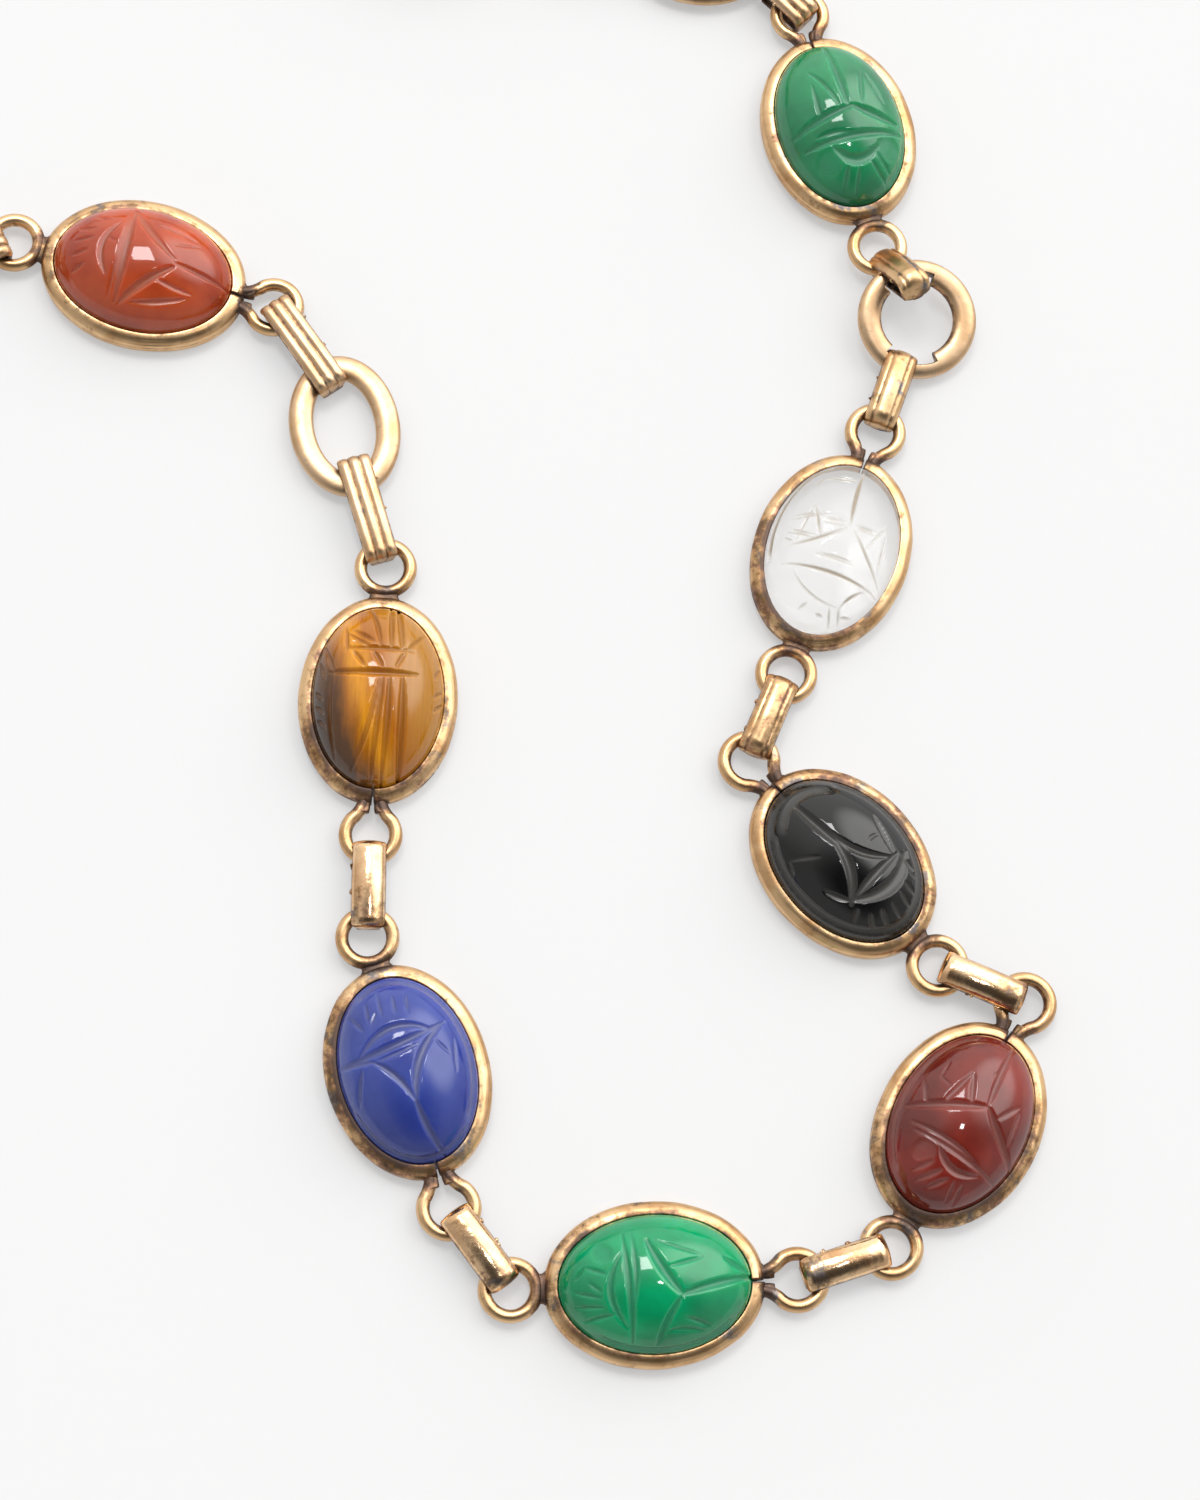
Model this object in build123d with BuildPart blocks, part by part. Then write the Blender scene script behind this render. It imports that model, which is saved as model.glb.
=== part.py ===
from build123d import *
from collections import namedtuple
from math import asin, atan, cos, degrees, radians, sin, sqrt
import os

# A multi-stone scarab necklace, laid flat as a closed loop. Millimetres.
# X runs to the right and Y away from the viewer, Z is up, and the floor is z = 0.
# Each piece is made round its own origin, with x along the chain, and is then laid in its place.

# Scarab stones: oval cabochons
stone_length = 14.0
stone_width = 10.0
stone_back = 0.3           # height of the flat back above the floor
stone_back_bevel = 0.8     # how far the back is smaller than the girdle
girdle_low = 0.6
girdle_height = 0.3
shoulder_height = 0.3      # bevel from the girdle up to the foot of the dome
dome_height = 3.7
stone_gap = 0.06           # between stone and setting
groove_width = 0.34        # carved lines
groove_depth = 0.22

# Settings: an oval frame of two round ridges, slit at its forward end, with a loop at each end
frame_height = 1.7
frame_rim = 0.9            # width of the rim as seen from above
frame_round = 0.3
lip = 0.3                  # how far the rim laps over the girdle
ridge_count = 2
slit = 0.3
loop_wire = 0.95
loop_hole = 2.6
loop_bite = 0.05           # how far the loop is sunk into the frame
solder_height = 0.7
solder_width = 3.0         # along the frame
solder_neck = 1.9          # along the loop

# Connectors: folded strips that pass through the loops and meet at the back
strip = 0.35
fold_gap = 0.25
tab_width = 1.7
plate_width = 2.4
plate_crown = 0.22
plate_edge = 0.25          # thickness of the plate's sides
bend = 0.55
run_gap = 0.06             # clearance between pieces that touch on the real necklace
connector_length = {"plain": 6.3, "ribbed": 8.1, "grooved": 6.2}
rib_count = 3
side_groove = 0.16

# Ring links
ring_thickness = 1.0
ring_round = 0.35
round_ring_diameter = 8.9
round_ring_hole = 5.4
seat_diameter = 6.92       # the wider cut where the connectors sit
seat_half_angle = 34.0
seat_turn = 12.0           # how far a seat is turned from its connector
oval_ring_length = 10.86
oval_ring_width = 8.0
oval_ring_band = 1.8

# Clasp: hidden, one plain closed ring with a thumb lug
clasp_diameter = 8.0
clasp_hole = 5.2
clasp_lug = 1.4

# How the chain lies
tip_angle = 45.0           # the connector that stands on its end beside the round ring

# The chain, from the carnelian at the left edge forward along the visible stretch.
# heading: degrees from +X. slack: free play left in a connector, mm.
# back_share: the share of that play that lies at the connector's back end.
Link = namedtuple("Link", "kind style heading slack back_share")
VISIBLE = [
    Link("setting", "winged", -13.8, 0, 0),
    Link("connector", "ribbed", -54.1, 0.75, 0.95),
    Link("oval_ring", "", -78.4, 0, 0),
    Link("connector", "ribbed", -72.3, 0.32, 0.7),
    Link("setting", "collared", -92.1, 0, 0),
    Link("connector", "plain", -90.7, 0.07, 0.5),
    Link("setting", "winged", -72.5, 0, 0),
    Link("connector", "plain", -52.2, 0.46, 0.5),
    Link("setting", "winged", 2.2, 0, 0),
    Link("connector", "plain", 18.7, 0.54, 0.5),
    Link("setting", "winged", 60.0, 0, 0),
    Link("connector", "plain", 156.6, 0.75, 0.5),
    Link("setting", "winged", 131.9, 0, 0),
    Link("connector", "grooved", 67.0, 0.29, 0.5),
    Link("setting", "scratched", 69.7, 0, 0),
    Link("connector", "grooved", 70.3, 0.41, 0.5),
    Link("round_ring", "", 93.0, 0, 0),
    Link("connector", "tipped", 115.5, 0, 0),
    Link("setting", "winged", 106.2, 0, 0),
    Link("connector", "ribbed", 136.0, 2.3, 0.6),
    Link("oval_ring", "", 180.0, 0, 0),
]
# The hidden stretch: its headings follow one smooth turn from the first to the last given here
HIDDEN = [
    Link("connector", "ribbed", None, 0.3, 0.5),
    Link("setting", "winged", None, 0, 0),
    Link("connector", "plain", None, 0.3, 0.5),
    Link("setting", "winged", None, 0, 0),
    Link("connector", "plain", None, 0.3, 0.5),
    Link("clasp", "", None, 0, 0),
    Link("connector", "plain", None, 0.3, 0.5),
    Link("setting", "winged", None, 0, 0),
    Link("connector", "plain", None, 0.3, 0.5),
    Link("setting", "winged", None, 0, 0),
    Link("connector", "plain", None, 0.3, 0.5),
    Link("setting", "winged", None, 0, 0),
    Link("connector", "ribbed", None, 0.3, 0.5),
]
HIDDEN_TURN = (180.0, 395.0)

# Carved lines of the stones, from the head (x -1) to the tail (x +1), as shares of the half sizes.
# bow: how far the line's middle is pushed to its left, as a share of the stone's half width.
Stroke = namedtuple("Stroke", "x1 y1 x2 y2 bow")
CARVING = {
    "winged": [
        Stroke(0.92, 0.0, 0.16, 0.0, 0.0),       # line between the wings
        Stroke(0.16, 0.0, -0.18, 0.72, 0.08),    # front edges of the wings
        Stroke(0.16, 0.0, -0.18, -0.72, -0.08),
        Stroke(-0.06, 0.74, 0.66, 0.52, -0.12),  # sides of the wings
        Stroke(-0.06, -0.74, 0.66, -0.52, 0.12),
        Stroke(-0.28, 0.8, -0.28, -0.8, 0.16),   # collar
        Stroke(-0.38, 0.74, -0.38, -0.74, 0.2),
        Stroke(-0.5, 0.48, -0.5, -0.48, 0.24),   # head
        Stroke(-0.74, 0.0, -0.92, 0.0, 0.0),     # rays before the head
        Stroke(-0.71, 0.2, -0.87, 0.28, 0.0),
        Stroke(-0.71, -0.2, -0.87, -0.28, 0.0),
    ],
    "collared": [
        Stroke(-0.3, 0.82, -0.3, -0.82, 0.1),    # collar
        Stroke(-0.22, 0.06, 0.88, 0.12, 0.0),    # wing lines down to the tail
        Stroke(-0.22, -0.06, 0.88, -0.02, 0.0),
        Stroke(-0.22, 0.3, 0.84, 0.36, 0.0),
        Stroke(-0.22, -0.3, 0.84, -0.26, 0.0),
        Stroke(-0.5, 0.7, -0.52, -0.3, 0.06),    # crossing cuts of the head
        Stroke(-0.36, 0.2, -0.72, 0.62, 0.0),
        Stroke(-0.6, -0.1, -0.92, -0.14, 0.0),
        Stroke(-0.6, 0.12, -0.9, 0.22, 0.0),
    ],
    "scratched": [
        Stroke(0.86, -0.06, 0.2, 0.0, 0.0),      # thin lines of the clear stone
        Stroke(0.2, 0.0, -0.2, -0.62, 0.0),
        Stroke(0.2, 0.0, 0.1, 0.66, 0.0),
        Stroke(0.04, -0.1, -0.06, 0.5, 0.0),
        Stroke(-0.66, 0.1, -0.86, 0.1, 0.0),
        Stroke(-0.66, -0.12, -0.86, -0.12, 0.0),
    ],
}
SCRATCH_WIDTH = 0.2

# Sizes that follow from the ones above
stone_ratio = stone_width / stone_length
stone_half = stone_length / 2
girdle_high = girdle_low + girdle_height
dome_foot = girdle_high + shoulder_height
lip_half = stone_half - lip                       # long half of the opening in the rim
dome_half = lip_half - stone_gap / stone_ratio
channel_half = stone_half + stone_gap / stone_ratio
channel_low = stone_back + (girdle_low - stone_back) * (1 - lip / stone_back_bevel) - stone_gap
channel_high = dome_foot + stone_gap
frame_half_length = lip_half + frame_rim
frame_half_width = lip_half * stone_ratio + frame_rim
ridge_height = frame_height / ridge_count
loop_radius = (loop_hole + loop_wire) / 2         # of the wire's centre line
loop_centre = frame_half_length + loop_hole / 2 + loop_wire - loop_bite
loop_z = strip + run_gap + loop_wire / 2
slot = max(ring_thickness, loop_wire) + 0.6       # inner height of a connector
connector_height = strip + slot + strip + plate_crown
tab_top = connector_height - plate_crown - plate_edge   # above this the plate is at its full width
ring_z = strip + run_gap
round_ring_radius = round_ring_diameter / 2
seat_radius = seat_diameter / 2
oval_half = oval_ring_length / 2
oval_centre_half = oval_half - oval_ring_band / 2
oval_centre_width = (oval_ring_width - oval_ring_band) / 2
oval_pivot = oval_centre_half - oval_centre_width ** 2 / oval_centre_half


def play(inner_radius):
    """How far a tab's inner face can lie from the centre of a round hole before its corners touch."""
    return sqrt((inner_radius - run_gap) ** 2 - (tab_width / 2) ** 2)


# For each kind of carrier: half its length between pivots, and the play of a tab round the pivot
HALF_SPAN = {"setting": loop_centre, "oval_ring": oval_pivot, "round_ring": 0.0, "clasp": 0.0}
PLAY = {
    "setting": play(loop_hole / 2),
    "oval_ring": play(oval_half - oval_ring_band - oval_pivot),
    "round_ring": play(seat_radius),
    "clasp": play(clasp_hole / 2),
}


# The connector that stands on its end: all in the upright plane along its heading.
# e is the distance from the round ring's centre, z the height.
def lay_tipped_connector(low_edge):
    """Places of the tipped connector, the wire of the loop in it and the ring over that wire."""
    tip = radians(tip_angle)
    half_length = connector_length["grooved"] / 2
    half_height = connector_height / 2
    centre_z = (half_length - bend) * sin(tip) + (half_height - bend) * cos(tip) + bend
    # the wire lies in the lower end, between the back plate and the tab
    tab_room = loop_wire / 2 + (loop_hole / 2 - PLAY["setting"]) * cos(tip)
    wire_along = half_length - strip - tab_room
    wire_across = strip + loop_wire / 2 + run_gap - half_height
    wire_z = centre_z - wire_along * sin(tip) + wire_across * cos(tip)
    # the ring lies over the wire and slopes down to the connector on its other side
    ring_low = wire_z + loop_wire / 2 + run_gap
    slope = (ring_low - ring_z) / (seat_radius + low_edge)
    ring_top = ring_low + slope * (round_ring_radius - seat_radius) + ring_thickness
    relief = ring_round * (sin(tip) + cos(tip) - 1)
    plate_under = strip + slot - half_height
    room = plate_under - run_gap + relief - (ring_top - centre_z) * cos(tip)
    centre_e = round_ring_radius - room / sin(tip)
    wire_e = centre_e + wire_along * cos(tip) + wire_across * sin(tip)
    return centre_e, centre_z, wire_e, wire_z, slope


def ring_low_edge():
    """How far from the round ring's centre, down its slope, the other connector's back plate reaches."""
    before, ring, after = [next(i for i, l in enumerate(VISIBLE) if l.kind == "round_ring") + k for k in (-1, 0, 1)]
    turn = radians(VISIBLE[after].heading - VISIBLE[before].heading)
    return round_ring_radius * cos(turn) + tab_width / 2 * sin(turn)


tipped_e, tipped_z, tipped_wire_e, tipped_wire_z, ring_slope = lay_tipped_connector(ring_low_edge())


def reach(links, i):
    """Distance between the two pivots that a connector joins."""
    link = links[i]
    if link.style == "tipped":
        return tipped_wire_e + loop_radius
    back = PLAY[links[i - 1].kind]
    front = PLAY[links[(i + 1) % len(links)].kind]
    return connector_length[link.style] - 2 * strip + back + front - link.slack


def span(links, i):
    """Length of a link along the chain, from its back pivot to its forward one."""
    if links[i].kind == "connector":
        return reach(links, i)
    return 2 * HALF_SPAN[links[i].kind]


CHAIN = VISIBLE + HIDDEN
SPANS = [span(CHAIN, i) for i in range(len(CHAIN))]


def walk(headings):
    """Back pivots of all the links, and the chain's end, for one heading a link."""
    x, y = 0.0, 0.0
    pivots = [(x, y)]
    for length, heading in zip(SPANS, headings):
        x += length * cos(radians(heading))
        y += length * sin(radians(heading))
        pivots.append((x, y))
    return pivots


def hidden_headings(bulge, swing):
    """Headings of the hidden links: an even turn with a bulge at its middle and a swing along it."""
    first, last = HIDDEN_TURN
    lengths = SPANS[len(VISIBLE):]
    total = sum(lengths)
    headings = []
    passed = 0.0
    for length in lengths:
        share = (passed + length / 2) / total
        bend_in = bulge * sin(radians(180 * share)) + swing * sin(radians(360 * share))
        headings.append(first + (last - first) * share + bend_in)
        passed += length
    return headings


def close_chain():
    """Choose bulge and swing so that the chain ends where it begins."""
    seen = [link.heading for link in VISIBLE]

    def miss(bulge, swing):
        return walk(seen + hidden_headings(bulge, swing))[-1]

    bulge, swing, small = 0.0, 0.0, 0.01
    for turn in range(30):
        x, y = miss(bulge, swing)
        ax, ay = [(b - a) / small for a, b in zip((x, y), miss(bulge + small, swing))]
        bx, by = [(b - a) / small for a, b in zip((x, y), miss(bulge, swing + small))]
        size = ax * by - bx * ay
        bulge -= max(-20, min(20, (x * by - bx * y) / size))
        swing -= max(-20, min(20, (ax * y - x * ay) / size))
    return seen + hidden_headings(bulge, swing)


HEADINGS = close_chain()
PIVOTS = walk(HEADINGS)


# Places: each is a plane with its x along the link
def flat_place(x, y, z, heading, drop=0.0):
    """A plane at a point, x along the heading, its x dropping by the given angle."""
    turn, dip = radians(heading), radians(drop)
    forward = (cos(turn) * cos(dip), sin(turn) * cos(dip), -sin(dip))
    up = (cos(turn) * sin(dip), sin(turn) * sin(dip), cos(dip))
    return Plane(origin=(x, y, z), x_dir=forward, z_dir=up)


def setting_place(i):
    """A setting lies flat, or with its back loop lifted where that loop is in the tipped connector."""
    lifted = CHAIN[i - 1].style == "tipped"
    drop = degrees(asin((tipped_wire_z - loop_z) / (2 * loop_centre))) if lifted else 0.0
    x, y = PIVOTS[i + 1]
    flat = flat_place(x, y, loop_z, HEADINGS[i], drop)
    origin = flat.origin - flat.x_dir * loop_centre - flat.z_dir * loop_z
    return Plane(origin=origin, x_dir=flat.x_dir, z_dir=flat.z_dir)


def connector_place(i):
    link = CHAIN[i]
    x, y = PIVOTS[i]
    heading = HEADINGS[i]
    turn = radians(heading)
    if link.style == "tipped":
        middle = connector_height / 2
        tip = radians(tip_angle)
        along = tipped_e - middle * sin(tip)
        height = tipped_z - middle * cos(tip)
        return flat_place(x + along * cos(turn), y + along * sin(turn), height, heading, tip_angle)
    back_tab = PLAY[CHAIN[i - 1].kind] - link.slack * link.back_share
    along = back_tab - strip + connector_length[link.style] / 2
    return flat_place(x + along * cos(turn), y + along * sin(turn), 0, heading)


def ring_place(i):
    """An oval ring or the clasp lies flat on the back plates of its connectors."""
    (x1, y1), (x2, y2) = PIVOTS[i], PIVOTS[i + 1]
    return flat_place((x1 + x2) / 2, (y1 + y2) / 2, ring_z, HEADINGS[i])


def round_ring_place(i):
    """The round ring slopes down from the tipped connector."""
    x, y = PIVOTS[i]
    heading = HEADINGS[i + 1]
    height = ring_z + ring_slope * ring_low_edge()
    return flat_place(x, y, height, heading, -degrees(atan(ring_slope)))


# Stones
def trace_strokes(style):
    """The carved lines of a stone as a flat sketch."""
    width = SCRATCH_WIDTH if style == "scratched" else groove_width
    half_width = stone_width / 2
    with BuildSketch(Plane.XY.offset(girdle_high)) as strokes:
        for stroke in CARVING[style]:
            start = (stroke.x1 * stone_half, stroke.y1 * half_width)
            end = (stroke.x2 * stone_half, stroke.y2 * half_width)
            with BuildLine():
                if stroke.bow:
                    SagittaArc(start, end, stroke.bow * half_width)
                else:
                    Line(start, end)
            trace(line_width=width)
    return strokes.sketch


def turn_blank(depth):
    """A cabochon turned round and pressed oval, with its dome lower by the given depth."""
    top = dome_foot + dome_height - depth
    with BuildPart() as blank:
        with BuildSketch(Plane.XZ):
            with BuildLine():
                Polyline(
                    (0, stone_back),
                    (stone_half - stone_back_bevel, stone_back),
                    (stone_half - depth, girdle_low),
                    (stone_half - depth, girdle_high),
                    (dome_half - depth, dome_foot),
                )
                EllipticalCenterArc((0, dome_foot), dome_half - depth, dome_height - depth, 0, arc_size=90)
                Line((0, top), (0, stone_back))
            make_face()
        revolve(axis=Axis.Z)
        scale(by=(1, stone_ratio, 1))
    return blank.part


def make_stone(style):
    with BuildPart() as stone:
        add(turn_blank(0))
        extrude(trace_strokes(style), amount=dome_height + shoulder_height, mode=Mode.SUBTRACT)
        add(turn_blank(groove_depth))
    return stone.part


# Settings
def sketch_oval(half_length, half_width, height=0.0):
    """An oval, long along x, whose seam lies on its long side, clear of the slit and the loops."""
    with BuildSketch(Plane.XY.offset(height)) as oval:
        Ellipse(half_width, half_length, rotation=90)
    return oval.sketch


def make_bore():
    """What is cut from a frame: the opening for the stone, and the channel that holds its girdle."""
    with BuildPart() as bore:
        for half, low, high in (
            (lip_half, 0.0, channel_low),
            (channel_half, channel_low, channel_high),
            (lip_half, channel_high, frame_height),
        ):
            extrude(sketch_oval(half, half * stone_ratio, low), amount=high - low)
    return bore.part


def make_ridge():
    with BuildPart() as ridge:
        add(sketch_oval(frame_half_length, frame_half_width))
        extrude(amount=ridge_height)
        fillet(ridge.edges().filter_by(GeomType.ELLIPSE), frame_round)
    return ridge.part


def make_setting():
    ridge = make_ridge()
    neck = loop_centre - loop_hole / 2 - loop_wire / 2
    with BuildPart() as setting:
        for number in range(ridge_count):
            with Locations((0, 0, number * ridge_height)):
                add(ridge)
        with Locations((-loop_centre, 0, loop_z), (loop_centre, 0, loop_z)):
            Torus(loop_radius, loop_wire / 2)
        # solder between each loop and the frame
        with BuildSketch(Plane.XY.offset(loop_z - solder_height / 2)):
            for side in (-1, 1):
                with BuildLine():
                    Polyline(
                        (side * (frame_half_length - frame_rim / 2), -solder_width / 2),
                        (side * frame_half_length, -solder_width / 2),
                        (side * neck, -solder_neck / 2),
                        (side * neck, solder_neck / 2),
                        (side * frame_half_length, solder_width / 2),
                        (side * (frame_half_length - frame_rim / 2), solder_width / 2),
                        close=True,
                    )
                make_face()
        extrude(amount=solder_height)
        add(make_bore(), mode=Mode.SUBTRACT)
        # slit through the frame, the solder and the near side of the forward loop
        inside = lip_half - lip
        with Locations(((inside + loop_centre) / 2, 0, frame_height / 2)):
            Box(loop_centre - inside, slit, frame_height, mode=Mode.SUBTRACT)
    return setting.part


# Connectors
def sketch_front(style):
    """A connector's shape seen along the chain: narrow tabs below, the domed plate above."""
    side_z = connector_height - plate_crown
    with BuildSketch(Plane.YZ) as front:
        with BuildLine():
            Polyline(
                (plate_width / 2, side_z),
                (plate_width / 2, tab_top),
                (tab_width / 2, tab_top),
                (tab_width / 2, 0),
                (-tab_width / 2, 0),
                (-tab_width / 2, tab_top),
                (-plate_width / 2, tab_top),
                (-plate_width / 2, side_z),
            )
            if style == "ribbed":
                rib = plate_width / rib_count
                for number in range(rib_count):
                    left = -plate_width / 2 + number * rib
                    ThreePointArc((left, side_z), (left + rib / 2, connector_height), (left + rib, side_z))
            else:
                ThreePointArc((-plate_width / 2, side_z), (0, connector_height), (plate_width / 2, side_z))
        make_face()
        if style == "grooved":
            with Locations((-plate_width / 3.2, connector_height), (plate_width / 3.2, connector_height)):
                Circle(side_groove, mode=Mode.SUBTRACT)
    return front.sketch


def make_connector(style):
    length = connector_length[style]
    with BuildPart() as connector:
        with BuildSketch(Plane.XZ) as side:
            with Locations((0, connector_height / 2)):
                RectangleRounded(length, connector_height, bend)
            with Locations((0, strip + slot / 2)):
                RectangleRounded(length - 2 * strip, slot, bend - strip / 2, mode=Mode.SUBTRACT)
        extrude(amount=plate_width / 2, both=True)
        extrude(sketch_front(style), amount=length / 2, both=True, mode=Mode.INTERSECT)
        with Locations((0, 0, strip / 2)):
            Box(fold_gap, tab_width, strip, mode=Mode.SUBTRACT)
    return connector.part


# Ring links
def make_oval_ring():
    with BuildPart() as ring:
        with BuildSketch():
            Ellipse(oval_half, oval_ring_width / 2)
            Ellipse(oval_half - oval_ring_band, oval_ring_width / 2 - oval_ring_band, mode=Mode.SUBTRACT)
        extrude(amount=ring_thickness)
        fillet(ring.edges().filter_by(GeomType.ELLIPSE), ring_round)
    return ring.part


def make_round_ring():
    i = next(i for i, link in enumerate(CHAIN) if link.kind == "round_ring")
    back_turn = HEADINGS[i - 1] + 180 + seat_turn - HEADINGS[i + 1]
    seats = (back_turn, -seat_turn)
    with BuildPart() as ring:
        with BuildSketch():
            Circle(round_ring_radius)
            Circle(round_ring_hole / 2, mode=Mode.SUBTRACT)
        extrude(amount=ring_thickness)
        fillet(ring.edges().filter_by(GeomType.CIRCLE), ring_round)
        for turn in seats:
            corners = [radians(turn + k * seat_half_angle) for k in (-1, 0, 1)]
            far = 2 * round_ring_radius
            with BuildSketch():
                Circle(seat_radius)
                with BuildLine():
                    Polyline((0, 0), *[(far * cos(a), far * sin(a)) for a in corners], close=True)
                make_face(mode=Mode.INTERSECT)
            extrude(amount=ring_thickness, mode=Mode.SUBTRACT)
    return ring.part


def make_clasp():
    with BuildPart() as clasp:
        with BuildSketch():
            Circle(clasp_diameter / 2)
            Circle(clasp_hole / 2, mode=Mode.SUBTRACT)
        extrude(amount=ring_thickness)
        fillet(clasp.edges().filter_by(GeomType.CIRCLE), ring_round)
        with BuildSketch():
            with Locations((0, clasp_diameter / 2)):
                RectangleRounded(clasp_lug, clasp_lug, clasp_lug / 4)
        extrude(amount=ring_thickness)
    return clasp.part


# All the pieces with their places
Piece = namedtuple("Piece", "name shape place")


def lay_pieces():
    stones = {style: make_stone(style) for style in CARVING}
    connectors = {style: make_connector(style) for style in connector_length}
    setting = make_setting()
    rings = {"oval_ring": make_oval_ring(), "round_ring": make_round_ring(), "clasp": make_clasp()}
    pieces = []
    counts = {"setting": 0, "connector": 0, "oval_ring": 0}
    for i, link in enumerate(CHAIN):
        if link.kind in counts:
            counts[link.kind] += 1
        if link.kind == "setting":
            number = f"{counts['setting']:02d}"
            place = setting_place(i)
            pieces.append(Piece(f"setting_{number}", setting, place))
            pieces.append(Piece(f"stone_{number}", stones[link.style], place))
        elif link.kind == "connector":
            style = "grooved" if link.style == "tipped" else link.style
            pieces.append(Piece(f"connector_{counts['connector']:02d}_{style}", connectors[style], connector_place(i)))
        elif link.kind == "round_ring":
            pieces.append(Piece("ring_round", rings[link.kind], round_ring_place(i)))
        elif link.kind == "oval_ring":
            pieces.append(Piece(f"ring_oval_{counts['oval_ring']}", rings[link.kind], ring_place(i)))
        else:
            pieces.append(Piece("clasp", rings[link.kind], ring_place(i)))
    return pieces


def middle_of(pieces):
    """The middle of the laid necklace, which becomes the origin."""
    boxes = [(piece.place.location * piece.shape).bounding_box() for piece in pieces]
    low_x, high_x = min(b.min.X for b in boxes), max(b.max.X for b in boxes)
    low_y, high_y = min(b.min.Y for b in boxes), max(b.max.Y for b in boxes)
    return (low_x + high_x) / 2, (low_y + high_y) / 2


os.makedirs("parts", exist_ok=True)
laid = lay_pieces()
middle_x, middle_y = middle_of(laid)
for item in laid:
    with BuildPart() as piece:
        with Locations(Location((-middle_x, -middle_y, 0)) * item.place.location):
            add(item.shape)
    piece.part.label = item.name
    export_step(piece.part, f"parts/{item.name}.step")
print("pieces", len(laid), "chain length", round(sum(SPANS), 1), "mm")
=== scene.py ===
from collections import namedtuple
from math import cos, hypot, pi, radians, sin

import bmesh
import bpy
import numpy as np
from mathutils import Matrix, Vector


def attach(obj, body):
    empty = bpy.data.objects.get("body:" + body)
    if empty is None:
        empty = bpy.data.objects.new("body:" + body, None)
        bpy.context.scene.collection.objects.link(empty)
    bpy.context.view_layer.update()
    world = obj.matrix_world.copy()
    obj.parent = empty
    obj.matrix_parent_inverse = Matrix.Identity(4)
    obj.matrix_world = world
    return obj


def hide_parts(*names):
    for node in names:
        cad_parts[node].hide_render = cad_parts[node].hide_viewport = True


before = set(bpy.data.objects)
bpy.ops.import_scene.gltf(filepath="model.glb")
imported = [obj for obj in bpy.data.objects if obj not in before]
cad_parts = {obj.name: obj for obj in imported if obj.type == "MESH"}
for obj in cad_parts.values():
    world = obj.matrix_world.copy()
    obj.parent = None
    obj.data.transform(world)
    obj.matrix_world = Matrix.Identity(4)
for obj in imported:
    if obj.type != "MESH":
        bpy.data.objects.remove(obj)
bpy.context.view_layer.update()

# A scarab necklace of carved oval stones in open-backed settings, laid on a pale surface.
# Lengths in this file are millimetres, and become metres where a mesh is made.
MM = 0.001

# Sizes, as in the solids. A half size is along an oval's long axis.
STONE_HALF, STONE_RATIO = 7.0, 10 / 14
STONE_BACK, BACK_BEVEL = 0.3, 0.8
GIRDLE_LOW, GIRDLE_HIGH = 0.6, 0.9
DOME_HALF, DOME_FOOT, DOME_HEIGHT = 6.616, 1.2, 3.7
LIP_HALF, RIM = 6.7, 0.9
FRAME_LENGTH = LIP_HALF + RIM
LOOP_WIRE, LOOP_RADIUS, LOOP_CENTRE, LOOP_Z = 0.95, 1.775, 9.8, 0.885
STRIP = 0.35
CONNECTOR_HEIGHT = 2.52
PLATE_WIDTH, TAB_WIDTH, FOLD_GAP = 2.4, 1.7, 0.25
CONNECTOR_LENGTH = {"plain": 6.3, "ribbed": 8.1, "grooved": 6.2}
RING_THICKNESS = 1.0
OVAL_HALF, OVAL_WIDTH_HALF, OVAL_BAND = 5.43, 4.0, 1.8
ROUND_RADIUS, ROUND_HOLE, SEAT_RADIUS = 4.45, 2.7, 3.46
SEAT_HALF_ANGLE, SEAT_TURN = 34.0, 12.0

# Finer forms, that the solids leave out
SLIT = 0.1                           # nearly closed, as in the photo
SLIT_STEP = 0.09                      # how far one end of the slit stands back
RIDGE_GAP = 0.85                      # height of the line between the rim's two ridges
SOLDER_WIDE, SOLDER_TALL, SOLDER_SLIT, SOLDER_TARNISH = 1.02, 0.34, 0.13, 0.84
END_BEND, GROOVED_BEND, TAB_BEND, TAB_INSET = 0.8, 1.1, 0.5, 0.12
RIBBED_CROWN, RIB_DEPTH = 0.16, 0.22
GROOVE_AT = 0.54                      # a side groove's place, as a share of the half width
GRAIN_RADIUS, GRAIN_TARNISH = 0.17, 0.45
FLOOR_GAP = 0.01                      # keeps a piece's underside clear of the surface
IN_THE_PHOTO = 8                      # settings up to this number show in the photo, and get finer meshes

# Looks
QUARTZ_IOR = 1.54
DULLED = {"connector_07_grooved": 0.28, "connector_08_grooved": 0.16}
# Plain connectors are darker towards one end, a painted dark reflection: these two behind, the other plain
# ones in front
DARK_REFLECTION_BEHIND = ("connector_05_plain", "connector_06_plain")      # the other plain ones brown in front
# How stained each setting is, and on which side, in degrees from its forward end
STAINS = {"01": (0.7, 120), "02": (1.1, -25), "03": (1.3, 280), "04": (0.9, 150), "05": (1.25, 190),
          "06": (1.1, 275), "07": (1.15, 140), "08": (0.6, 180), "09": (0.9, 60), "10": (1.0, 200),
          "11": (1.1, 330), "12": (0.8, 120), "13": (1.0, 250)}

# The links in their order round the chain
CHAIN = (
    "setting_01", "connector_01_ribbed", "ring_oval_1", "connector_02_ribbed",
    "setting_02", "connector_03_plain", "setting_03", "connector_04_plain",
    "setting_04", "connector_05_plain", "setting_05", "connector_06_plain",
    "setting_06", "connector_07_grooved", "setting_07", "connector_08_grooved",
    "ring_round", "connector_09_grooved", "setting_08", "connector_10_ribbed",
    "ring_oval_2", "connector_11_ribbed", "setting_09", "connector_12_plain",
    "setting_10", "connector_13_plain", "clasp", "connector_14_plain",
    "setting_11", "connector_15_plain", "setting_12", "connector_16_plain",
    "setting_13", "connector_17_ribbed",
)

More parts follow.
